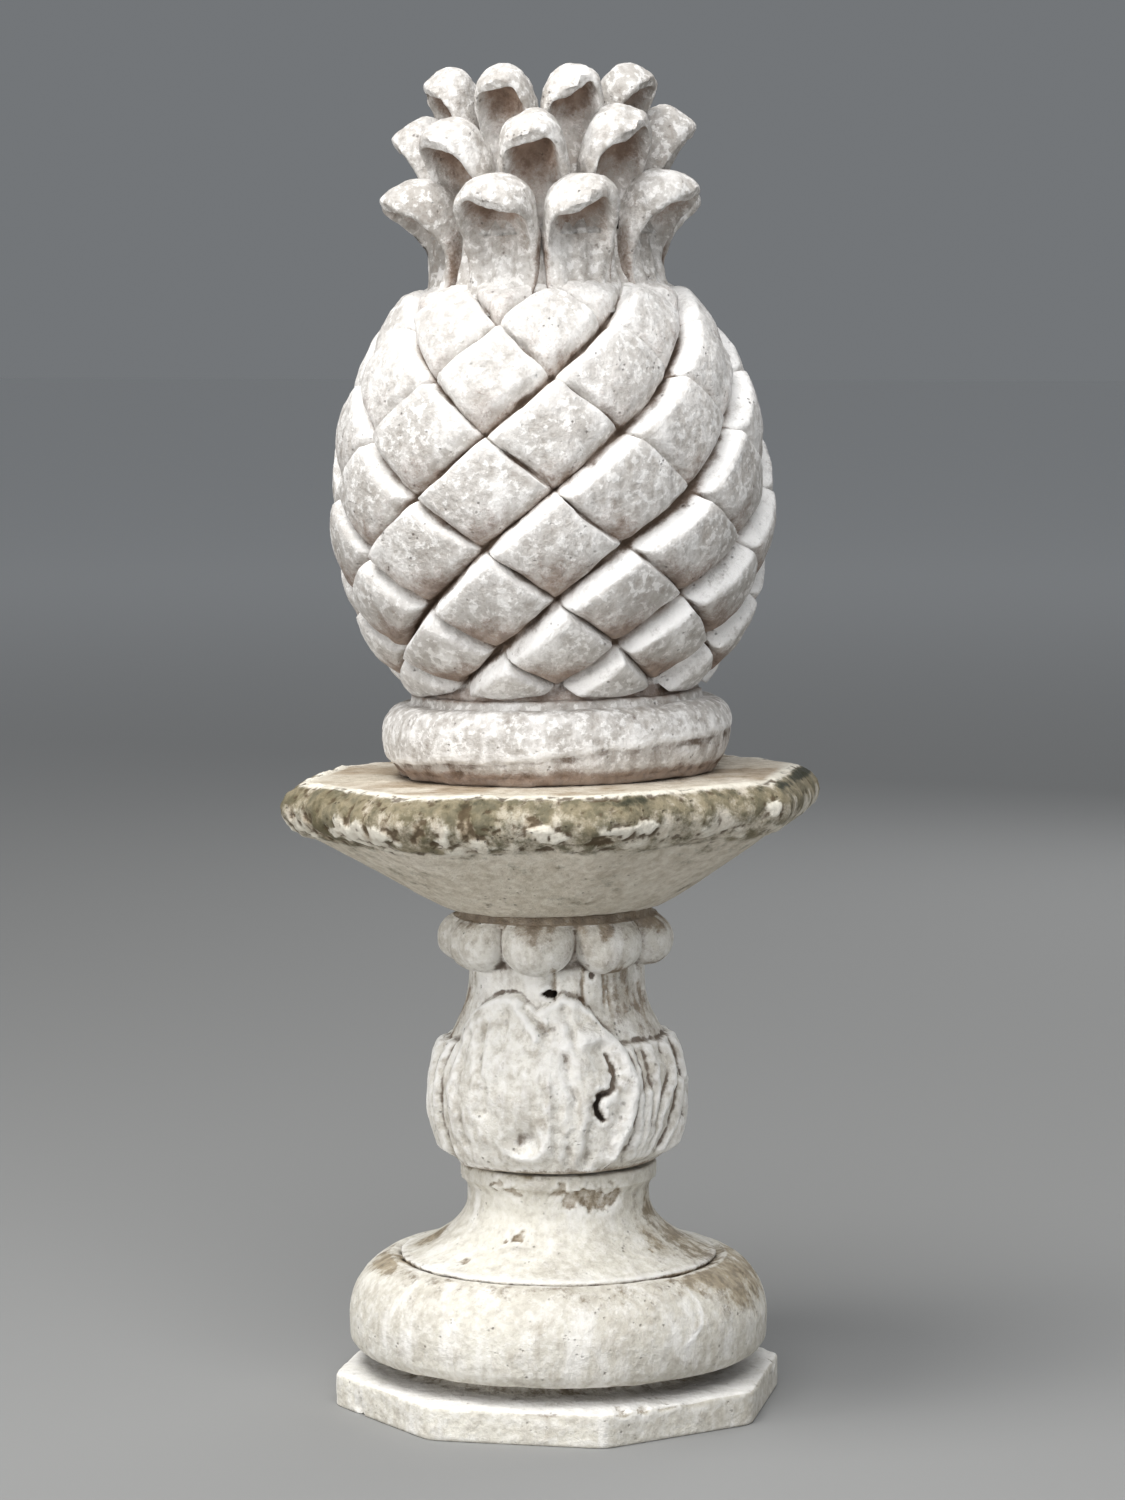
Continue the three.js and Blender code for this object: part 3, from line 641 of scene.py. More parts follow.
def crownLeaf(tier, number):
    # A thick leaf like a corbel. In profile it lies between a front curve, which rises from the root and
    # flares out to the lip, and a back curve, which climbs over the crest to the tip. Its back is domed
    # across, its front is hollowed between two rims under the lip, and its root has upright ribs.
    facts = crown["tiers"][tier]
    chance = cornerNumber(np.array([[tier, number, k] for k in range(8)]), 41) * 2 - 1
    turned, raised, skew = facts["moved"].get(number, (0, 0, 0.5 * chance[7]))
    azimuth = facts["azimuth"] + number * 360 / crown["leaves"] + 3 * chance[0] + turned
    root, lip, crest = [facts[k] * crown["height"] for k in ("root", "lip", "crest")]
    lip, crest = lip + raised + 2.5 * chance[1], crest + raised + 2.5 * chance[1] + 1.5 * chance[5]
    reach = crown["spread"] * facts["reach"] * (1 + 0.025 * chance[2])
    width = crown["spread"] * facts["width"] * (1 + 0.07 * chance[3])
    rise = crest - root
    rootFront = coreRadiusAt(root) + facts["stand"] * crown["spread"]
    rootBack = rootFront - 24
    flare = reach - rootFront
    frontCurve = [
        (rootFront + crown["splay"], root - 0.6 * crown["splay"]), (rootFront - 15, root + 0.3 * rise),
        (rootFront + 0.5 * flare, lip - 0.14 * rise), (reach, lip + 0.02 * rise)]
    backCurve = [
        (rootBack, root), (rootBack + 2, root + 0.78 * rise),
        (mixed(rootBack, reach, 0.24), crest + 0.2 * rise), (reach - 0.04 * flare, mixed(lip, crest, 0.5))]
    half = crown["columns"] // 2
    edgeToEdge = np.cos(np.pi * np.arange(half) / half)
    side = np.concatenate([-edgeToEdge, edgeToEdge])
    outwards = np.concatenate([np.ones(half), np.zeros(half)])
    bulge = np.sqrt(np.clip(1 - side ** 2, 0, 1))
    tip, tipRows = crown["tip"], crown["rows"] // 3
    rounding = np.sin(np.linspace(0, math.pi / 2, tipRows + 1))[1:]
    straight = np.linspace(0, 1 - tip, crown["rows"] - tipRows)
    along = np.concatenate([straight, 1 - tip + tip * rounding])[:, None]
    everywhere = np.broadcast_to(along, (crown["rows"], crown["columns"]))
    front, back = curveAt(frontCurve, everywhere), curveAt(backCurve, everywhere)
    tipRound = roundedEnd(along, tip, 0.0004)
    middle = mixed(front, back, 0.5)
    front = middle + (front - middle) * tipRound[..., None]
    back = middle + (back - middle) * tipRound[..., None]
    edge = mixed(front, back, 0.3)
    lipPlace = along - 0.075 * skew * side
    hollowShare = 0.62 * fadeIn(along, 0.16, 0.62) * (1 - 0.97 * fadeIn(lipPlace, 0.845, 0.925))
    hollow = hollowShare * np.clip(1 - np.abs(side / 0.86) ** 2.4, 0, 1)
    onFront = edge + (front - edge) * (bulge ** 0.45)[:, None] + (back - front) * hollow[..., None]
    onBack = edge + (back - edge) * (bulge ** 0.9)[:, None]
    place = np.where(outwards[:, None] > 0, onFront, onBack)
    ribs = outwards * 2.6 * np.cos(3.4 * np.pi * side + 2 * chance[6]) * fadeOut(along, 0.25, 0.55) * bulge
    swell = mixed(0.9, 1.0, fadeIn(along, 0.1, 0.6)) * roundedEnd(along, crown["tongue"], 0.0009)
    aside = side * swell * width / 2 + 3.5 * chance[4] * fadeIn(along, 0.25, 1)
    turn = math.radians(azimuth)
    radial = place[..., 0] + ribs
    height = fruitTop + place[..., 1] + 4 * skew * side * fadeIn(along, 0.6, 0.95)
    points = np.stack([
        radial * math.sin(turn) + aside * math.cos(turn),
        -radial * math.cos(turn) + aside * math.sin(turn),
        height], axis=-1)
    normals = gridNormals(points)
    rough = 2.6 * roughNoise(points, 22, 2, 43) + 2.0 * roughNoise(points, 9, 3, 47)
    points = points + normals * (rough * tipRound)[..., None]
    inHollow = outwards * hollow / 0.62
    low = fadeOut(along, 0.0, 0.4)
    underside = np.clip(-normals[..., 2], 0, 1)
    beside = np.abs(side) ** 6 * fadeOut(along, 0.3, 0.75)
    # painted shade on the leaf's underside, in the hollow under its lip, which is also stained brown, and at
    # its sides near the root between the leaves, near black low down; a faint painted highlight on its upward
    # faces
    marks = {
        "hollow": np.clip(0.85 * inHollow + 0.5 * beside + 0.4 * underside, 0, 1),
        "crevice": np.clip(0.6 * beside + 0.3 * low * fadeIn(-ribs, 0.2, 1.4), 0, 1),
        "crest": 0.15 * np.clip(normals[..., 2] * 1.3, 0, 1) * fadeIn(along, 0.5, 0.8),
        "stainAndShade": np.clip(1.1 * inHollow * fadeIn(along, 0.3, 0.7) + 0.6 * beside, 0, 1),
        "deep": 0.75 * beside * low + 0 * height,
    }
    return closedGrid(points, marks, pairedTop=True)


def joinedPatches(patches):
    # several patches of points, faces and marks as one
    points, faces, marks, offset = [], [], {}, 0
    for patchPoints, patchFaces, patchMarks in patches:
        points.append(patchPoints)
        faces += [group + offset for group in patchFaces]
        for mark, values in patchMarks.items():
            marks.setdefault(mark, []).append(values.ravel())
        offset += len(patchPoints)
    return np.concatenate(points), faces, {mark: np.concatenate(values) for mark, values in marks.items()}


def pineappleBody():
    # the foot, the fruit and the core as one closed skin
    body, relief, groove, bevel, lowness = fruitGrid()
    columns = body.shape[1]
    azimuth = fruit["azimuth"] + np.arange(columns) * 360 / columns
    foot = fruitFootOutline()[1:]
    footPoints = swept(foot[:, :1], azimuth, foot[:, 1:])
    chipped = roughNoise(footPoints, 60, 3, 53)
    turn = np.broadcast_to(azimuth, footPoints.shape[:2])
    high = footPoints[..., 2]
    flakeLine = 24 + 10 * np.sin(np.radians(turn - 20)) + 6 * chipped
    onFoot = fadeIn(high, 1, 6) * fadeOut(high, 50, 62)
    flaked = fadeOut(high, flakeLine - 1.2, flakeLine + 1.2) * onFoot
    footRelief = onFoot * (0.9 * chipped + 0.5 * roughNoise(footPoints, 9, 2, 59)) - 1.6 * flaked
    footPoints = footPoints + gridNormals(footPoints) * footRelief[..., None]
    top = crown["height"] * crown["coreShare"]
    bodyTop = fruit["radius"] * math.cos(fruitTopAngle)
    wide, narrow = crown["coreRadius"], crown["coreTopRadius"]
    core = outlineFrom(
        (bodyTop - 6, fruitTop),
        (4, (wide + 4, fruitTop + 1), (wide, fruitTop + 8)),
        (4, (narrow, fruitTop + 0.85 * top)),
        (5, (0.8 * narrow, fruitTop + top), (6, fruitTop + top)),
    )
    corePoints = swept(core[:, :1], azimuth, core[:, 1:])
    points = np.concatenate([footPoints, body, corePoints])
    rough = 1.7 * roughNoise(points, 26, 2, 61) + 1.0 * roughNoise(points, 10, 2, 67)
    points = points + gridNormals(points) * rough[..., None]
    wholeRelief = np.concatenate([footRelief, relief, np.full(corePoints.shape[:2], -8.0)]) + rough
    marks = weatherAndShadeMarks(wholeRelief, 3, 60, 9)
    first, last = len(footPoints), len(footPoints) + len(body)
    # the upper rows are paler, with lighter grooves
    upperRows = fadeIn(body[..., 2], 235, 335)
    groove = groove * (1 - 0.45 * upperRows)
    # the grooves are painted dark with brown dirt and painted shade
    marks["crevice"][first:last] = marks["crevice"][first:last] * 0.5 + groove
    # the bevels are painted pale, a painted highlight where they face the light
    marks["crest"][first:last] = 0.3 * marks["crest"][first:last] + bevel + 0.18 * upperRows
    marks["hollow"][:first] *= 0.3
    # painted shade on the core between the leaves, lighter near its top
    coreTop = fadeIn(corePoints[..., 2], fruitTop + 0.86 * top, fruitTop + 0.97 * top)
    marks["hollow"][last:] = 1 - 0.6 * coreTop
    marks["crevice"][last:] = 0.85 * (1 - coreTop)
    # painted shade and brown stain on the lower part of each scale's face, where it rounds away from the
    # light, stronger in the lower rows
    lowRow = np.clip(1 - (points[first:last, :, 2] - fruitBottom) / 150, 0, 1)
    stainAndShade = np.zeros(points.shape[:2])
    stainAndShade[first:last] = np.clip(0.25 + 0.85 * lowness, 0, 1) * (0.48 + 0.85 * lowRow) * (1 - bevel)
    footHigh = footPoints[..., 2]
    stainAndShade[:first] = 0.9 * fadeOut(footHigh, 2, 15) + 0.35 * flaked + 0.7 * fadeIn(footHigh, 57, 64)
    marks["stainAndShade"] = stainAndShade
    deep = np.zeros(points.shape[:2])
    # near-black painted shade in stretches of the grooves
    deep[first:last] = groove * 0.5 * fadeIn(roughNoise(body, 40, 2, 73), -0.1, 0.5)
    deep[last:] = 0.35 * (1 - coreTop)
    marks["deep"] = deep
    sides = [
        bandFaces(0, first, columns),
        *lozengeFaces(first, last - 1, columns),
        bandFaces(last - 1, len(points) - 1, columns),
    ]
    return closedGrid(points, marks, sides)


def pineapple():
    leaves = [crownLeaf(tier, number) for tier in range(3) for number in range(crown["leaves"])]
    whole = joinedPatches([pineappleBody(), *leaves])
    stone = castStone("whitewashedFruit", {
        **plainStone,
        "wash": linear(204, 200, 195),
        "greyWash": linear(177, 172, 166),
        "bareStone": linear(151, 143, 134),
        "brightWashAndHighlight": linear(246, 244, 241),
        "mottle": 0.62,
        "flecks": 0.32,
        "chips": 0.55,
        "stainAndShadeColor": linear(150, 126, 108),
        "darkStainAndShade": linear(114, 90, 73),
        "filmAndShadeColor": linear(158, 140, 126),
        "filmAndShadeFrom": 0.2,
        "filmAndShade": 0.85,
        "crest": 0.95,
        "bump": 0.75,
    })
    makePiece("pineapple_stone", whole, pineappleStand, stone, "pineapple")


pineapple()


# The table top: a shallow bowl that turns from a circle into an octagon, under a thick crusted rim

table = {
    "bedRadius": 83,
    "skirtHeight": 58,
    "underReach": 172,  # half of the width across flats at the rim's lower edge
    "bulge": 21,
    "topReach": 178,
    "rimHeight": 43,
    "skirtFullness": 0.9,
    "skirtRounding": 1.4,
    "rimFullness": 0.7,
    "sharpness": 62,
    "columns": 480,
    "flakes": [(-44, 71, 12, 6), (-31, 69, 9, 7), (-30, 57, 7, 4), (-12, 59, 11, 6), (-5, 66, 6, 7),
               (9, 75, 8, 6), (12, 72, 6, 5), (25, 75, 9, 4), (31, 77, 8, 5), (64, 82, 6, 6), (48, 70, 8, 3),
               (118, 74, 9, 6), (150, 68, 10, 5), (187, 78, 8, 5), (214, 70, 9, 6), (251, 66, 11, 6),
               (279, 75, 10, 7), (297, 70, 9, 5)],
    "pockets": [(-23, 71, 8, 8), (-15, 65, 6, 5), (21, 67, 7, 5), (-38, 82, 9, 6), (140, 76, 8, 5),
                (232, 72, 9, 6), (305, 78, 8, 6)],
}


def tableTop():
    t = table
    skirt = np.linspace(0, 1, 46)
    rim = np.linspace(0, 1, 38)[1:]
    inwards = np.array([0.993, 0.98, 0.955, 0.92, 0.87, 0.82, 0.77, 0.72, 0.66, 0.5, 0.3, 0.1])
    bulge = t["bulge"] * np.abs(np.sin(np.pi * rim)) ** t["rimFullness"]
    rimBottom, topHeight = t["skirtHeight"], t["skirtHeight"] + t["rimHeight"]
    reach = np.concatenate([
        t["bedRadius"] * np.array([0.5, 0.9]),
        mixed(t["bedRadius"], t["underReach"], skirt ** t["skirtFullness"]),
        mixed(t["underReach"], t["topReach"], rim) + bulge,
        t["topReach"] * inwards])[:, None]
    height = np.concatenate([
        [0, 0],
        skirt * rimBottom,
        rimBottom + rim * t["rimHeight"],
        np.full(len(inwards), topHeight)])[:, None]
    roundness = np.concatenate([
        [1, 1], 1 - skirt ** t["skirtRounding"], np.zeros(len(rim) + len(inwards))])[:, None]
    azimuth = np.arange(t["columns"]) * 360 / t["columns"]
    octagon = octagonShare(azimuth, t["sharpness"])
    points = swept(reach * mixed(octagon, 1, roundness), azimuth, height)
    turn, high = np.broadcast_arrays(azimuth, height)
    onRim = fadeIn(high, rimBottom - 6, rimBottom + 4)
    onTop = fadeIn(-reach, -t["topReach"] - 0.5, -t["topReach"] + 4) * (high > topHeight - 1)
    band = onRim * (1 - onTop)
    leftward = 0.5 + 0.5 * np.cos(np.radians(turn + 75))
    chips = roughNoise(points, 30, 3, 101)
    flaking = roughNoise(points * np.array([1, 1, 0.7]), 15, 3, 103)
    spots = pitNoise(points * np.array([1, 1, 0.8]), 15, 107)
    scaly = roughNoise(points * np.array([1, 1, 0.8]) + 400, 17, 3, 127)
    ragged = 0.7 * flaking + 0.9 * roughNoise(points, 6, 3, 181)
    lowBand = bump(high - 70 - 7 * chips, 13)
    flakes = fadeIn(scaly, 0.08, 0.34) * lowBand * (0.55 + 0.45 * leftward)
    flakes = np.maximum(flakes, spotted(turn, high, 190, t["flakes"], ragged, 0.7))
    pockets = spotted(turn, high, 190, t["pockets"], ragged, 0.9)
    pockets = np.maximum(pockets, fadeIn(-scaly, 0.3, 0.5) * band * (0.3 + 0.7 * leftward))
    scabs = 1.6 * (0.6 - spots) * fadeIn(chips, -0.3, 0.5)
    crust = band * (2.0 * chips + (0.8 + 1.2 * leftward) * flaking + scabs)
    streaky = roughNoise(points * np.array([1, 1, 0.35]), 7, 2, 191)
    crust = crust + band * (1.5 * flakes - 1.8 * pockets + (0.5 + leftward) * streaky)
    wornCorner = fadeIn(octagon, 1.045, 1.07)
    crust = crust - 2.2 * band * wornCorner * (0.5 + chips)
    arris = bump(high - 100.8, 1.8) * fadeIn(high, 92, 98) * bump(np.maximum(t["topReach"] - reach, 0), 4)
    crust = crust - 2.6 * arris * fadeIn(roughNoise(points, 24, 2, 109), 0.1, 0.6)
    under = (1 - onRim) * (0.7 * chips + 0.25 * flaking)
    brushed = (1 - onRim) * fadeIn(roughNoise(points * np.array([0.3, 0.3, 1.2]), 10, 3, 199), 0.05, 0.5)
    top = onTop * (0.8 * chips + 0.3 * flaking)
    fine = (0.3 + 0.4 * band) * roughNoise(points, 5, 2, 113)
    relief = crust + under + top + fine
    points = points + gridNormals(points) * relief[..., None]
    marks = weatherAndShadeMarks(relief, 3, 14, 4.5)
    lifted = np.maximum(flakes, (0.2 + 0.5 * leftward) * fadeIn(streaky, 0.12, 0.36))
    # the worn top edge is painted pale, partly as a painted highlight on its round
    marks["crest"] = band * (0.6 * lifted + 0.5 * marks["crest"]) + 0.9 * arris
    marks["crevice"] = marks["crevice"] * (1 - 0.85 * onTop)
    yellowed = leftward * fadeIn(chips - streaky, -0.3, 0.5)
    streaks = onTop * fadeIn(roughNoise(points, 45, 3, 193), -0.15, 0.5) * (1 - arris)
    filmed = band * (marks["hollow"] + 0.6 * pockets + 0.8 * yellowed) + onTop * (0.5 + 0.55 * streaks)
    marks["hollow"] = np.clip(filmed, 0, 1) * (1 - arris)
    upper = fadeIn(high, 74, 96) * (1 - onTop)
    soiled = band * (0.58 + 0.4 * upper + 0.4 * chips + 0.35 * streaky) * (1 - 0.9 * flakes)
    marks["stainAndShade"] = np.clip(soiled + 0.3 * streaks + 0.4 * brushed, 0, 1) * (1 - arris)
    # painted shade along a line under the top edge, weaker towards the left
    marks["deep"] = bump(high - 96, 4) * (1 - onTop) * fadeIn(chips, -0.5, 0.2) * (1 - 0.7 * leftward)
    stone = castStone("lichenedStone", {
        **plainStone,
        "wash": linear(222, 213, 198),
        "greyWash": linear(205, 196, 179),
        "bareStone": linear(172, 160, 140),
        "brightWashAndHighlight": linear(236, 231, 217),
        "filmAndShadeColor": linear(156, 135, 109),
        "stainAndShadeColor": linear(134, 123, 96),
        "darkStainAndShade": linear(90, 84, 60),
        "creviceColor": linear(82, 68, 50),
        "deepColor": linear(56, 56, 42),
        "stainAndShade": 0.92,
        "chips": 0.34,
        "drips": 0.3,
        "bump": 0.9,
    })
    makePiece("table_stone", closedGrid(points, marks), tableStand, stone, "octagonal_table_top")


tableTop()


# The stem: two broad leaves with ribbed sides between them, a fluted waist and a collar of bosses

stem = {
    "bedRadius": 71,
    "bulbRadius": 93,
    "bulbWidestHeight": 55,
    "bulbFullness": 2.2,
    "waistRadius": 67,
    "waistHeight": 138,
    "waistSkew": 1.15,
    "collarUnderHeight": 150,
    "collarRadius": 90,
    "collarTopHeight": 189,
    "bossMiddle": 171,
    "bossHalfHeight": 21,
    "seatRadius": 74,
    "seatHeight": 6.5,
    "columns": 420,
    "leaves": (-4, 176),  # azimuths of the broad leaves
    "ribbedSides": (86, 266),
    "leafRelief": 6.0,
    "sideRelief": 2.6,
    "ribRelief": 5.4,
    # Lines on a leaf or a ribbed side are given in degrees from its middle and by height.
    "leafEdge": [(-52, 84), (-45, 108), (-39, 125), (-31, 130.5), (-19, 136), (-9, 135), (-5, 132), (3, 125),
                 (11.5, 131), (19.5, 137.6), (28.6, 133), (36, 125), (41, 114), (48, 104)],
    "rightEdge": [(0, 38), (14, 44), (47, 51), (74, 53), (96, 50), (104, 46), (124, 41)],
    # the rolled edge at the leaf's right
    "band": [(30, 105), (39, 106), (46.5, 100), (50, 74), (48, 47), (42.3, 14)],
    "crevice": [(40, 92), (42, 84), (42.4, 76), (40.5, 67), (35, 62), (33, 55), (32.8, 49), (35, 45)],
    "folds": [[(-43, 96), (-46, 60), (-41, 22)], [(-36, 104), (-37, 66), (-32, 24)],
              [(-27, 112), (-26, 84), (-20, 50)], [(20, 92), (23, 60), (20, 24)],
              [(30, 40), (29, 12)], [(-16, 120), (-13, 96)], [(20, 126), (25, 106)]],
    "smallLeafRidge": [(-7, 126), (0, 114), (5, 105)],
    "smallLeafValley": [(-3, 126), (4, 116), (9, 110), (14, 112)],
    # the ribs of the left half of a side, and half its width
    "ribs": [[(-36.5, 94), (-36.5, 66), (-35.2, 32), (-37, 10)], [(-31, 60), (-31, 30), (-34, 12)],
             [(-23, 93), (-25, 64), (-26.5, 44), (-30.7, 12)],
             [(-8, 91), (-11, 64), (-21, 43), (-25, 26), (-27, 12)],
             [(0, 62), (-6, 40), (-15, 12)], [(-2, 30), (-5, 10)]],
    "sideWidth": [(0, 36), (14, 40), (47, 45), (74, 47), (97, 44)],
    "flutes": (-101, -86, -64.7, -57, 9.4, 28.6, 42.8, 46.3, 84.8, 118, 133, 158, 176, 205, 222, 240),
    # spots by azimuth, height, half width and half height
    "hole": [(11.5, 136, 5.5, 2.8)],
    "dents": [(35, 149, 3, 3.6), (-47, 138, 3, 2)],
    "dirt": [(72, 122, 34, 32), (60, 150, 24, 18), (-70, 118, 12, 20), (150, 125, 30, 30),
             (215, 130, 34, 26), (272, 120, 20, 24)],
}


def stemRadius(height):
    s = stem
    low = np.clip(1 - height / s["bulbWidestHeight"], 0, 1)
    bulb = mixed(s["bedRadius"], s["bulbRadius"], np.sqrt(1 - low ** s["bulbFullness"]))
    rise = np.clip((height - s["bulbWidestHeight"]) / (s["waistHeight"] - s["bulbWidestHeight"]), 0, 1)
    waist = mixed(s["bulbRadius"], s["waistRadius"], (1 - np.cos(np.pi * rise ** s["waistSkew"])) / 2)
    return np.where(height < s["bulbWidestHeight"], bulb, waist)


def leafCarving(azimuth, height, middle, noise, fine):
    # A broad leaf: two lobes at its top, a rolled band down its right side with a crevice behind it, a small
    # folded leaf under a pierced hole, worn folds, and a worn scroll at its foot. Gives the relief, where the
    # leaf covers the stem, where painted shadow lies under its undercuts and in its scoop, where painted
    # shade is darkest, in its hole and low in its crevice, and the band.
    s = stem
    turn = fromAzimuth(azimuth, middle)
    wavy = turn + 2.4 * noise

    def line(path):
        return lineDistance(wavy, height, 88, path)

    edge = np.interp(turn, *zip(*s["leafEdge"])) + 2.2 * noise + 1.1 * fine
    rightEdge = np.interp(height, *zip(*s["rightEdge"]))
    inside = fadeIn(edge - height, -0.8, 3.4 + 2.8 * noise)
    inside = inside * fadeIn(turn, -52, -42) * fadeOut(turn - rightEdge, -1.5, 1)
    lobes = np.clip(bump(turn + 19, 9) + bump(turn - 27, 11), 0, 1)
    relief = inside * (s["leafRelief"] + 2.6 * bump(edge - height - 5, 6) * lobes)
    crevice = bump(line(s["crevice"]), mixed(3, 1.5, fadeIn(height, 60, 80)) * (1 + 0.5 * noise + 0.6 * fine))
    band = bump(line(s["band"]), 5.8)
    relief = relief + 6.5 * band - 5 * crevice
    relief = relief + 3.6 * bump(line(s["smallLeafRidge"]), 4) - 3.6 * bump(line(s["smallLeafValley"]), 4.4)
    for fold in s["folds"]:
        relief = relief - (3.3 + 2.6 * noise) * bump(line(fold), 4.0) * inside
    across, up = turn * 1.55, height - 28.5
    lowerRight = fadeIn((0.64 * across - 0.77 * up) / (np.hypot(across, up) + 1), -0.6, 0.6)
    rim = bump(np.hypot(across, up) - 14 - noise, 4.5) * lowerRight
    scoop = bump(np.hypot(across + 1, up - 1), 9 + noise)
    relief = relief + 4 * rim - 6.5 * scoop
    hole = spotted(turn, height, 68, s["hole"], 0.5 * noise + 0.8 * fine)
    dark = np.maximum(hole, 0.9 * crevice ** 2 * fadeOut(height, 58, 70))
    low = 1 - 0.65 * fadeIn(height, 60, 76)
    underLobes = bump(edge - height + 1.6, 1.3 + fine) * lobes * fadeIn(noise + fine, -0.1, 0.4)
    undercut = np.maximum(crevice * low, underLobes * (np.abs(turn) < 44))
    undercut = np.maximum(undercut, 0.5 * scoop * fadeIn(up - across, -6, 6))
    besideBand = bump(turn - rightEdge - 0.5, 1.4) * fadeOut(height, 92, 100) * fadeIn(noise, -0.7, 0)
    undercut = np.maximum(undercut, 0.6 * besideBand * (turn > 0))
    return relief - 7 * hole, inside, undercut, dark, band


def sideCarving(azimuth, height, middle, noise):
    # Ribs that lean towards the middle of the side as they rise, and end under a ragged ledge. Gives the
    # relief, and the creases beside the ribs and the line above the ledge, where shade is painted dark.
    s = stem
    turn = fromAzimuth(azimuth, middle)
    width = np.interp(height, *zip(*s["sideWidth"]))
    within = fadeOut(np.abs(turn) + 1.5 * noise, width - 1.5, width + 1)
    ledge = 97 + 3.5 * noise - 2 * bump(turn, 12)
    onHeight = fadeIn(height, 3, 14) * fadeOut(height, ledge - 1.5, ledge + 0.5)
    wavy = -np.abs(turn) + 2.5 * noise
    nearest = np.minimum.reduce([lineDistance(wavy, height, 90, rib) for rib in s["ribs"]])
    ribs = bump(nearest, 5.2 + noise)
    creases = bump(nearest - 6.5, 1.7) * fadeIn(noise, -0.6, 0.2)
    body = within * onHeight
    above = bump(height - ledge - 1.2, 2 + noise) * fadeOut(np.abs(turn), width - 3, width)
    above = above * fadeIn(noise, -0.3, 0.4)
    return body * (s["sideRelief"] + s["ribRelief"] * ribs), body * creases, above


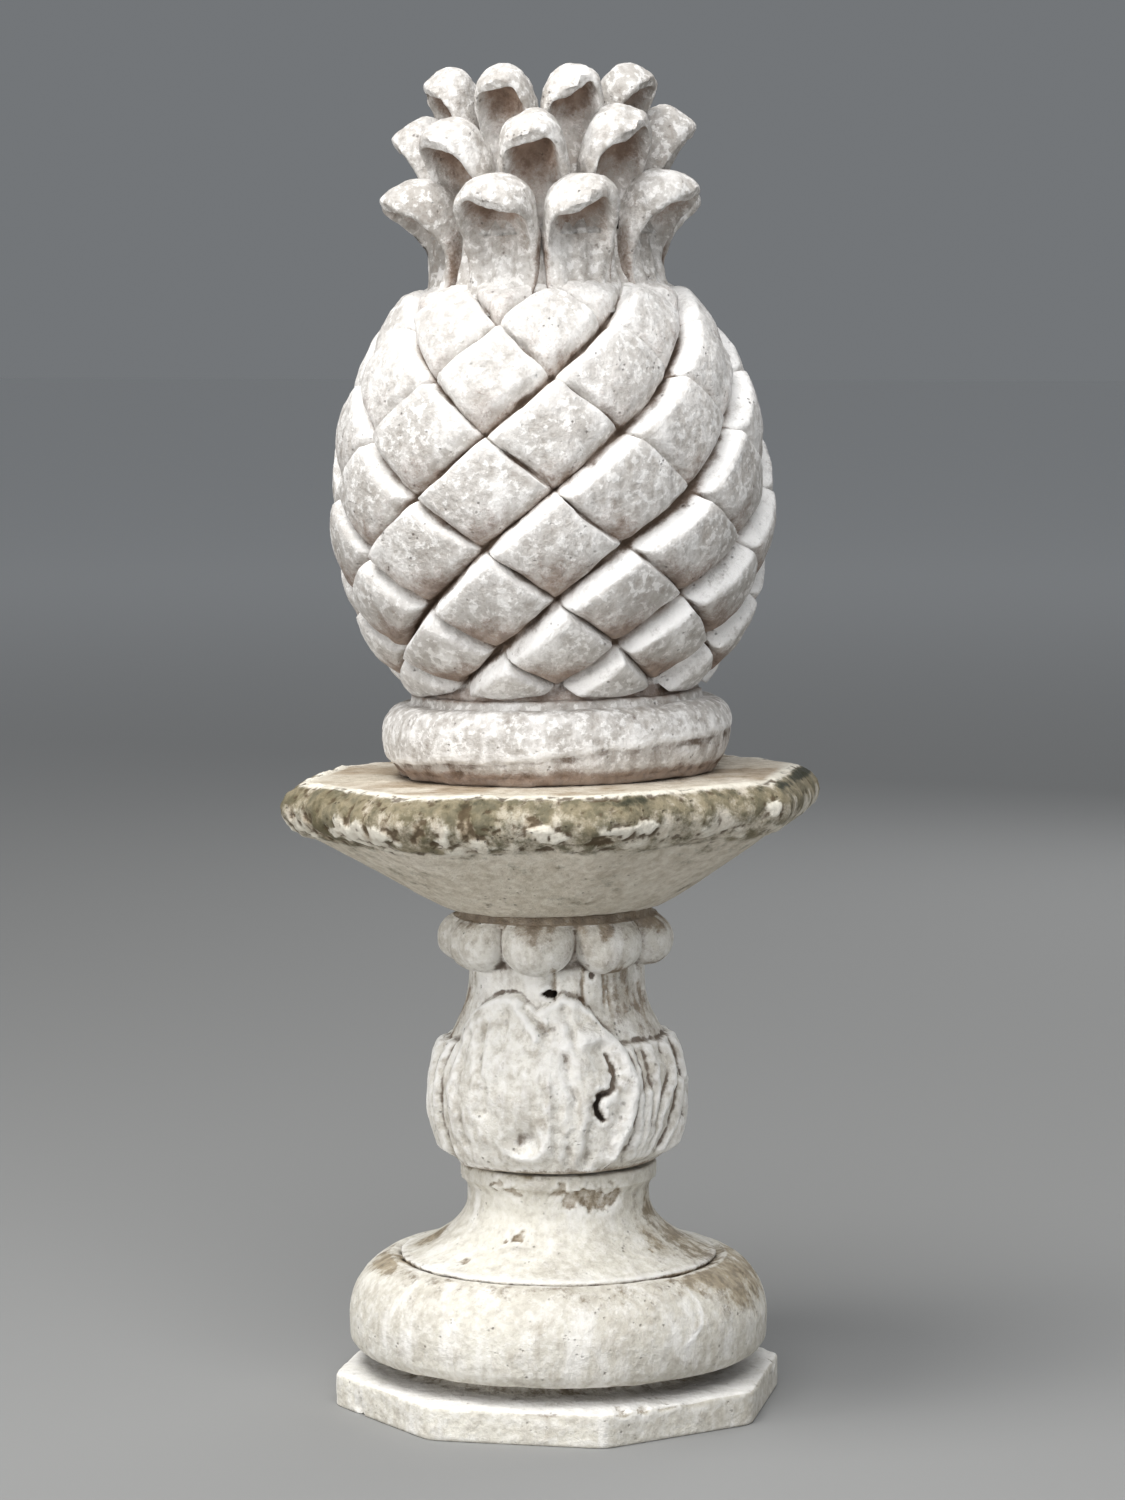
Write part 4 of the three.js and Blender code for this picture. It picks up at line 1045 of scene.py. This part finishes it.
def carvedStem():
    s = stem
    under, seat = s["collarUnderHeight"], s["collarTopHeight"]
    heights = np.concatenate([
        np.linspace(0, 3, 4), np.linspace(3, under, 150)[1:], np.linspace(under, seat, 44)[1:]])[:, None]
    azimuth = np.arange(s["columns"]) * 360 / s["columns"]
    base = swept(stemRadius(heights), azimuth, heights)
    turn, high = np.broadcast_arrays(azimuth, heights)
    wild = roughNoise(base, 22, 3, 131)
    ragged = 0.8 * wild + 0.6 * roughNoise(base, 8, 2, 151)
    fine = roughNoise(base, 4, 2, 197)
    relief, leafy, cut, drilled, rolled = [np.zeros(base.shape[:2]) for _ in range(5)]
    for middle in s["leaves"]:
        leaf, inside, undercut, dark, band = leafCarving(turn, high, middle, ragged, fine)
        relief, leafy = relief + leaf, leafy + inside
        cut, drilled, rolled = np.maximum(cut, undercut), np.maximum(drilled, dark), np.maximum(rolled, band)
    for middle in s["ribbedSides"]:
        ribs, creases, ledge = sideCarving(turn, high, middle, ragged)
        relief = relief + ribs * (1 - leafy)
        cut = np.maximum(cut, np.maximum((0.75 + 0.4 * fine) * creases, 0.6 * ledge) * (1 - leafy))
    relief = relief - 1.6 * cut * (1 - leafy)
    # the fluted waist and its dents
    onWaist = fadeIn(high, 112, 128) * (1 - leafy) * fadeOut(high, 156, 162)
    flutes = sum(bump(fromAzimuth(turn + 2.5 * wild, place) * 1.2, 2.1 + 1.2 * fine) for place in s["flutes"])
    relief = relief - 2.2 * np.clip(flutes, 0, 1) * onWaist + onWaist * 1.2 * np.cos(np.radians(8 * turn))
    dents = spotted(turn, high, 75, s["dents"], ragged)
    relief = relief - 3.0 * dents
    # the collar: plump bosses whose lower edges hang as scallops
    lobe = np.abs(fromAzimuth(8 * turn + 9 * wild, 0) / 180)
    drop = np.clip((188 - high) / (38 + 3 * wild), 0, 1)
    shield = np.sqrt(np.clip(1 - drop ** 4, 0, 1)) + 0.02
    boss = np.clip(1 - np.abs(lobe / shield) ** 2.5, 0, 1) ** 0.55
    fromMiddle = np.abs((high - s["bossMiddle"]) / s["bossHalfHeight"])
    boss = boss * np.clip(1 - fromMiddle ** 2.4, 0, 1) ** 0.55
    onCollar = fadeIn(high, under, under + 6)
    behind = 9 * np.sqrt(np.clip(1 - ((high - 176) / 17) ** 2, 0, 1))
    radius = stemRadius(heights) + np.maximum((s["collarRadius"] - s["waistRadius"] + 1) * boss, behind)
    tooled = roughNoise(base * np.array([1, 1, 0.12]), 6, 2, 137)
    tooling = tooled * (1.1 * onCollar * fadeIn(wild, -0.6, 0.4) + 1.1 * leafy + 0.4)
    lumps = 3.8 * roughNoise(base * np.array([1, 1, 0.7]), 24, 2, 139) * (0.3 + 0.7 * leafy)
    lumps = lumps + 2.0 * roughNoise(base * np.array([1, 1, 0.6]), 11, 2, 179) * (0.5 + 0.5 * leafy)
    ends = fadeIn(high, 0, 3) * fadeOut(high, seat - 2, seat)
    grooves = fadeIn(lobe / shield, 0.86, 1.02) * onCollar * (high < 186)
    relief = (relief * (1 - onCollar) - 2 * grooves + tooling + lumps) * ends
    relief = relief + 0.5 * wild + 0.35 * roughNoise(base, 6, 2, 149)
    points = swept(radius + relief, azimuth, heights)
    seatRadius, seatTop = s["seatRadius"], seat + s["seatHeight"]
    cap = np.array([[seatRadius + 4, seat + 0.5], [seatRadius, seat + 1], [seatRadius, seatTop],
                    [0.9 * seatRadius, seatTop], [0.3 * seatRadius, seatTop]])
    points = np.concatenate([points, swept(cap[:, :1], azimuth, cap[:, 1:])])
    extra = ((0, len(cap)), (0, 0))
    marks = {mark: np.pad(values, extra) for mark, values in weatherAndShadeMarks(relief, 4, 18, 8).items()}
    # painted shade in the undercuts, the creases, the collar's grooves and the dents, near black in the
    # pierced hole
    marks["crevice"] = marks["crevice"] * 0.6 + np.pad(0.9 * cut + 0.7 * grooves + 0.6 * dents, extra)
    dirty = spotted(turn, high, 72, s["dirt"], 0.6 * ragged, 1.6)
    streaked = 0.4 + 0.6 * fadeIn(tooled, -0.35, 0.25)
    dripLine = high + 5 * ragged + 7 * tooled + 9 * np.sin(np.radians(turn + 5))
    brown = np.maximum(0.85 * dirty, 0.95 * fadeIn(dripLine, 170, 199)) * streaked
    marks["crest"] = marks["crest"] + 0.8 * np.pad(rolled, extra)
    brown = np.maximum(brown, 0.8 * fadeOut(high, 1, 9))
    brown = np.maximum(brown, 0.75 * onWaist * np.clip(flutes, 0, 1))
    marks["stainAndShade"] = np.pad(brown, extra, constant_values=0.9)
    marks["deep"] = np.pad(drilled + 0.35 * cut + 0.2 * grooves, extra)
    stone = castStone("limewashedStem", {
        **plainStone,
        "wash": linear(233, 230, 222),
        "greyWash": linear(205, 200, 189),
        "chips": 0.36,
        "mottle": 0.6,
        "stainAndShadeColor": linear(152, 132, 106),
        "darkStainAndShade": linear(116, 96, 72),
        "stainAndShadeBreak": 1.1,
    })
    makePiece("stem_stone", closedGrid(points, marks), stemStand, stone, "carved_stem")


carvedStem()


# The foot: an octagonal plinth, a groove, a fat torus, the rim of a bell, and a ring that carries the stem

foot = {
    "plinthReach": 162,
    "plinthHeight": 25,
    "arris": 3,
    "grooveRadius": 118,
    "torusRadius": 161,
    "torusBottom": 40,
    "torusWidest": 67,
    "torusLowerRound": 15,
    "torusUpperRound": 47,
    "torusUpperSweep": 75.6,  # degrees
    "torusTop": 114,
    "bellRimRadius": 121,
    "bellTop": 157,
    "neckRadius": 70,
    "ringRadius": 75.5,
    "sharpness": 70,
    "columns": 400,
    "flakes": [(-28, 176, 9, 5), (-20, 171, 8, 5), (12, 172, 7, 6), (18, 165, 8, 9), (26, 169, 11, 9),
               (35, 167, 11, 11), (44, 166, 9, 8), (49, 171, 6, 5), (-70, 168, 8, 7), (130, 165, 14, 10),
               (205, 170, 12, 7), (255, 160, 10, 9)],
    "bellPits": [(-12, 138.5, 4.5, 3), (-33, 121, 4.5, 2.5), (-18, 135, 3, 2), (60, 126, 3.5, 2),
                 (142, 130, 6, 4)],
    "dirt": [(84, 150, 38, 22), (92, 128, 52, 28), (68, 130, 20, 20), (-80, 124, 26, 10), (70, 104, 36, 12),
             (74, 92, 26, 18), (90, 98, 54, 20), (-68, 109, 24, 7), (180, 120, 60, 20), (230, 105, 30, 10)],
    "plinthChips": [(28, 24, 5, 2.5), (42, 24, 5, 2.5), (34, 24, 4, 2), (-56, 8, 3.5, 6), (104, 22, 8, 4),
                    (191, 21, 9, 4), (262, 23, 7, 3)],
}


def mouldedFoot():
    f = foot
    reach, edge, arris, groove = f["plinthReach"], f["plinthHeight"], f["arris"], f["grooveRadius"]
    torus, low, torusTop = f["torusRadius"], f["torusBottom"], f["torusTop"]
    bell, top, neck, ring = f["bellRimRadius"], f["bellTop"], f["neckRadius"], f["ringRadius"]
    lowerRound = f["torusLowerRound"]
    lowerMiddle = torus - lowerRound
    upperReach = torus - bell + 4
    outline = outlineFrom(
        (0.6 * reach, 0),
        (3, (reach - 2, 0)),
        (5, (reach, 0), (reach, arris)),
        (14, (reach, edge - arris)),
        (6, (reach, edge), (reach - 1.4 * arris, edge + 0.4)),
        (12, (groove + 10, edge + 3.8)),
        (6, (groove + 1, edge + 5), (groove, edge + 9)),
        (4, (groove, low)),
        (7, (lowerMiddle - 4, low)),
    )
    lowRound = arc((lowerMiddle, low + lowerRound), (lowerRound, lowerRound), -90, -15, 16)
    highRound = arc((torus - upperReach, f["torusWidest"]), (upperReach, f["torusUpperRound"]),
                    0, f["torusUpperSweep"], 40)
    flare = (mixed(bell, neck, 0.55), mixed(torusTop, top, 0.2))
    above = outlineFrom(
        (bell - 3.4, torusTop - 4.6),
        (3, (bell - 1.6, torusTop - 4.2)),
        (6, (bell + 0.6, torusTop - 3), (bell + 0.2, torusTop)),
        (46, flare, (neck, mixed(torusTop, top, 0.62)), (neck, top)),
        (7, (neck, top + 8)),
        (10, (neck, top + 12.5), (ring, top + 17)),
        (9, (ring, top + 26)),
        (5, (ring, top + 28), (ring - 2.5, top + 28)),
        (4, (0.4 * ring, top + 28)),
    )
    profile = np.concatenate([outline, lowRound[1:], highRound, above])
    radius, height = profile[:, :1], profile[:, 1:]
    roundness = fadeIn(-radius, -(reach - 6), -(groove + 10)) * (height > edge - 1)
    roundness = np.where(height > edge + 4, 1, roundness)
    azimuth = np.arange(f["columns"]) * 360 / f["columns"]
    base = swept(radius * mixed(octagonShare(azimuth, f["sharpness"]), 1, roundness), azimuth, height)
    turn, high = np.broadcast_arrays(azimuth, height)
    out = np.broadcast_to(radius, turn.shape)
    wild = roughNoise(base, 34, 3, 151)
    flaking = roughNoise(base, 12, 3, 157)
    ragged = 1.1 * flaking + 1.3 * roughNoise(base, 6, 3, 173)
    flakes = spotted(turn, high, 74, f["flakes"], ragged, 0.8)
    pits = spotted(turn, high, 95, f["bellPits"], ragged, 0.8)
    chips = spotted(turn, high, 165, f["plinthChips"], ragged, 0.6)
    arrisChips = bump(np.hypot(out - reach, high - edge), 5) * fadeIn(roughNoise(base, 26, 2, 163), 0.15, 0.6)
    onTorus = fadeIn(high, 44, 52) * fadeOut(high, 104, 110) * (out > 115)
    ridge = [(53.5, 106), (54.5, 98), (54.5, 88), (53.3, 80), (48, 69)]
    curve = bump(lineDistance(turn, high, 158, ridge), 1.6) * onTorus
    relief = (0.9 * wild + 0.4 * flaking) * fadeIn(high, 0, 3)
    relief = relief - 1.5 * flakes - 1.6 * pits - 1.8 * chips * (out > 152) - 2 * arrisChips + 0.7 * curve
    relief = relief + 0.3 * roughNoise(base, 5, 2, 167) * fadeIn(high, 0, 3)
    ends = 1 - 0.8 * fadeIn(high, top + 26, top + 28)
    relief = relief * ends
    points = base + gridNormals(base) * relief[..., None]
    marks = weatherAndShadeMarks(relief, 3, 20, 3.0)
    # painted shade in the groove under the torus, near black in its depth
    inGroove = bump(high - 36, 3.4) * (out < 150) * (high > edge + 3)
    underTorus = inGroove + (np.abs(high - 41) < 2) * (out < 152)
    joint = bump(high - 110, 3.2) * (out < 124)
    dirt = spotted(turn, high, 120, f["dirt"], 0.5 * wild + 0.3 * flaking, 2.0)
    ochre = fadeIn(-out, -140, -122) * (high > edge) * (high < 34)
    torusCrown = fadeIn(high, 96, 108) * (out > 116) * (high < 112)
    ringTop = fadeIn(high, top + 22, top + 28) * fadeIn(flaking, -0.2, 0.4)
    stainAndShade = 1.05 * dirt + 0.42 * flakes + 0.5 * pits + 0.5 * ochre + 0.6 * chips * (high > 20)
    marks["stainAndShade"] = stainAndShade + 0.35 * torusCrown + 0.7 * ringTop
    marks["crevice"] = 0.5 * marks["crevice"] + underTorus + 0.7 * joint
    marks["hollow"] = marks["hollow"] + 0.5 * underTorus + 0.15 * ochre + 0.62 * np.maximum(flakes, pits)
    marks["deep"] = 0.8 * inGroove
    lift = bump(high - torusTop + 1, 2) * (out > 117) * (out < 124)
    # painted light on the plinth's top next to the groove, lifting the shadow that the torus casts there
    ledgeTop = fadeIn(out, 126, 142) * (high > edge - 1) * (high < 34)
    marks["crest"] = 0.5 * marks["crest"] + 0.8 * curve + 0.9 * lift + 0.85 * ledgeTop
    stone = castStone("limewashedFoot", {
        **plainStone,
        "wash": linear(221, 217, 205),
        "greyWash": linear(200, 195, 183),
        "filmAndShadeColor": linear(156, 143, 126),
        "mottle": 0.38,
        "flecks": 0.14,
        "bump": 0.65,
        "stainAndShadeColor": linear(158, 142, 114),
        "darkStainAndShade": linear(104, 87, 58),
        "stainAndShadeBreak": 1.0,
        "chips": 0.25,
    })
    makePiece("foot_stone", closedGrid(points, marks), footStand, stone, "moulded_foot")


mouldedFoot()


# The stage, lights and camera

view = {
    "azimuth": 11.25,  # of the camera, round from the front towards +X
    "distance": 3421.1,  # from the axis
    "height": 826.8,
    "pitch": 5.44,  # degrees downwards
    "aside": 3.1,  # to the camera's right
    "lens": 108,  # on a frame whose long side is 36
}


def softLamp(name, place, target, size, power, color):
    lamp = bpy.data.lights.new(name, "AREA")
    lamp.shape = "DISK"
    lamp.size, lamp.energy, lamp.color = size, power, color
    holder = bpy.data.objects.new(name, lamp)
    holder.location = place
    holder.rotation_euler = (Vector(target) - Vector(place)).to_track_quat("-Z", "Y").to_euler()
    bpy.context.scene.collection.objects.link(holder)


def studio():
    floorMesh = bpy.data.meshes.new("floor")
    reach = 60.0
    floorMesh.from_pydata([(-reach, -reach, 0), (reach, -reach, 0), (reach, reach, 0), (-reach, reach, 0)],
                          [], [(0, 1, 2, 3)])
    floor = bpy.data.objects.new("floor", floorMesh)
    bpy.context.scene.collection.objects.link(floor)
    paper = bpy.data.materials.new("palePaper")
    paper.use_nodes = True
    start = Wire(paper.node_tree, None)
    where = start.node("ShaderNodeTexCoord", {}, {}, "Object")
    distance = start.node("ShaderNodeVectorMath", {"operation": "LENGTH"}, {0: where}, "Value")
    shader = paper.node_tree.nodes["Principled BSDF"]
    # the floor is painted paler far away, as painted light where the lamps' light falls off, so that it
    # meets the sky softly
    pale = distance.between(1.5, 12.0).tint((0.27, 0.27, 0.265, 1), (0.96, 0.96, 0.96, 1))
    paper.node_tree.links.new(pale.socket, shader.inputs["Base Color"])
    shader.inputs["Roughness"].default_value = 0.9
    floorMesh.materials.append(paper)
    world = bpy.data.worlds.new("softSky")
    bpy.context.scene.world = world
    world.use_nodes = True
    world.node_tree.nodes["Background"].inputs["Color"].default_value = (0.9, 0.95, 1.0, 1)
    world.node_tree.nodes["Background"].inputs["Strength"].default_value = 0.19
    softLamp("keyLight", (-1.1, -1.2, 3.9), (0, 0, 0.6), 1.9, 86, (1.0, 0.99, 0.97))
    softLamp("skyLight", (0.2, -2.3, 3.1), (0, 0, 0.4), 3.0, 108, (0.98, 0.985, 1.0))
    softLamp("leftLight", (-2.6, -2.4, 0.7), (0, 0, 0.4), 1.2, 50, (1.0, 0.99, 0.98))
    softLamp("rightLight", (2.6, -3.0, 0.6), (0, 0, 0.5), 2.0, 36, (0.97, 0.98, 1.0))
    softLamp("backLight", (0.9, 3.2, 2.2), (0, 0, 0.5), 3.0, 34, (0.98, 0.985, 1.0))
    bpy.context.scene.view_settings.view_transform = "Standard"


def camera():
    lens = bpy.data.cameras.new("camera")
    lens.lens = view["lens"]
    lens.sensor_width = 36
    lens.clip_end = 100
    holder = bpy.data.objects.new("camera", lens)
    turn, pitch = math.radians(view["azimuth"]), math.radians(view["pitch"])
    back = Vector((math.sin(turn), -math.cos(turn), 0))
    toRight = Vector((math.cos(turn), math.sin(turn), 0))
    place = back * view["distance"] + toRight * view["aside"] + Vector((0, 0, view["height"]))
    holder.location = place * metre
    forward = -back * math.cos(pitch) - Vector((0, 0, math.sin(pitch)))
    holder.rotation_euler = forward.to_track_quat("-Z", "Y").to_euler()
    bpy.context.scene.collection.objects.link(holder)
    bpy.context.scene.camera = holder


studio()
camera()
print("stage, lights and camera set")
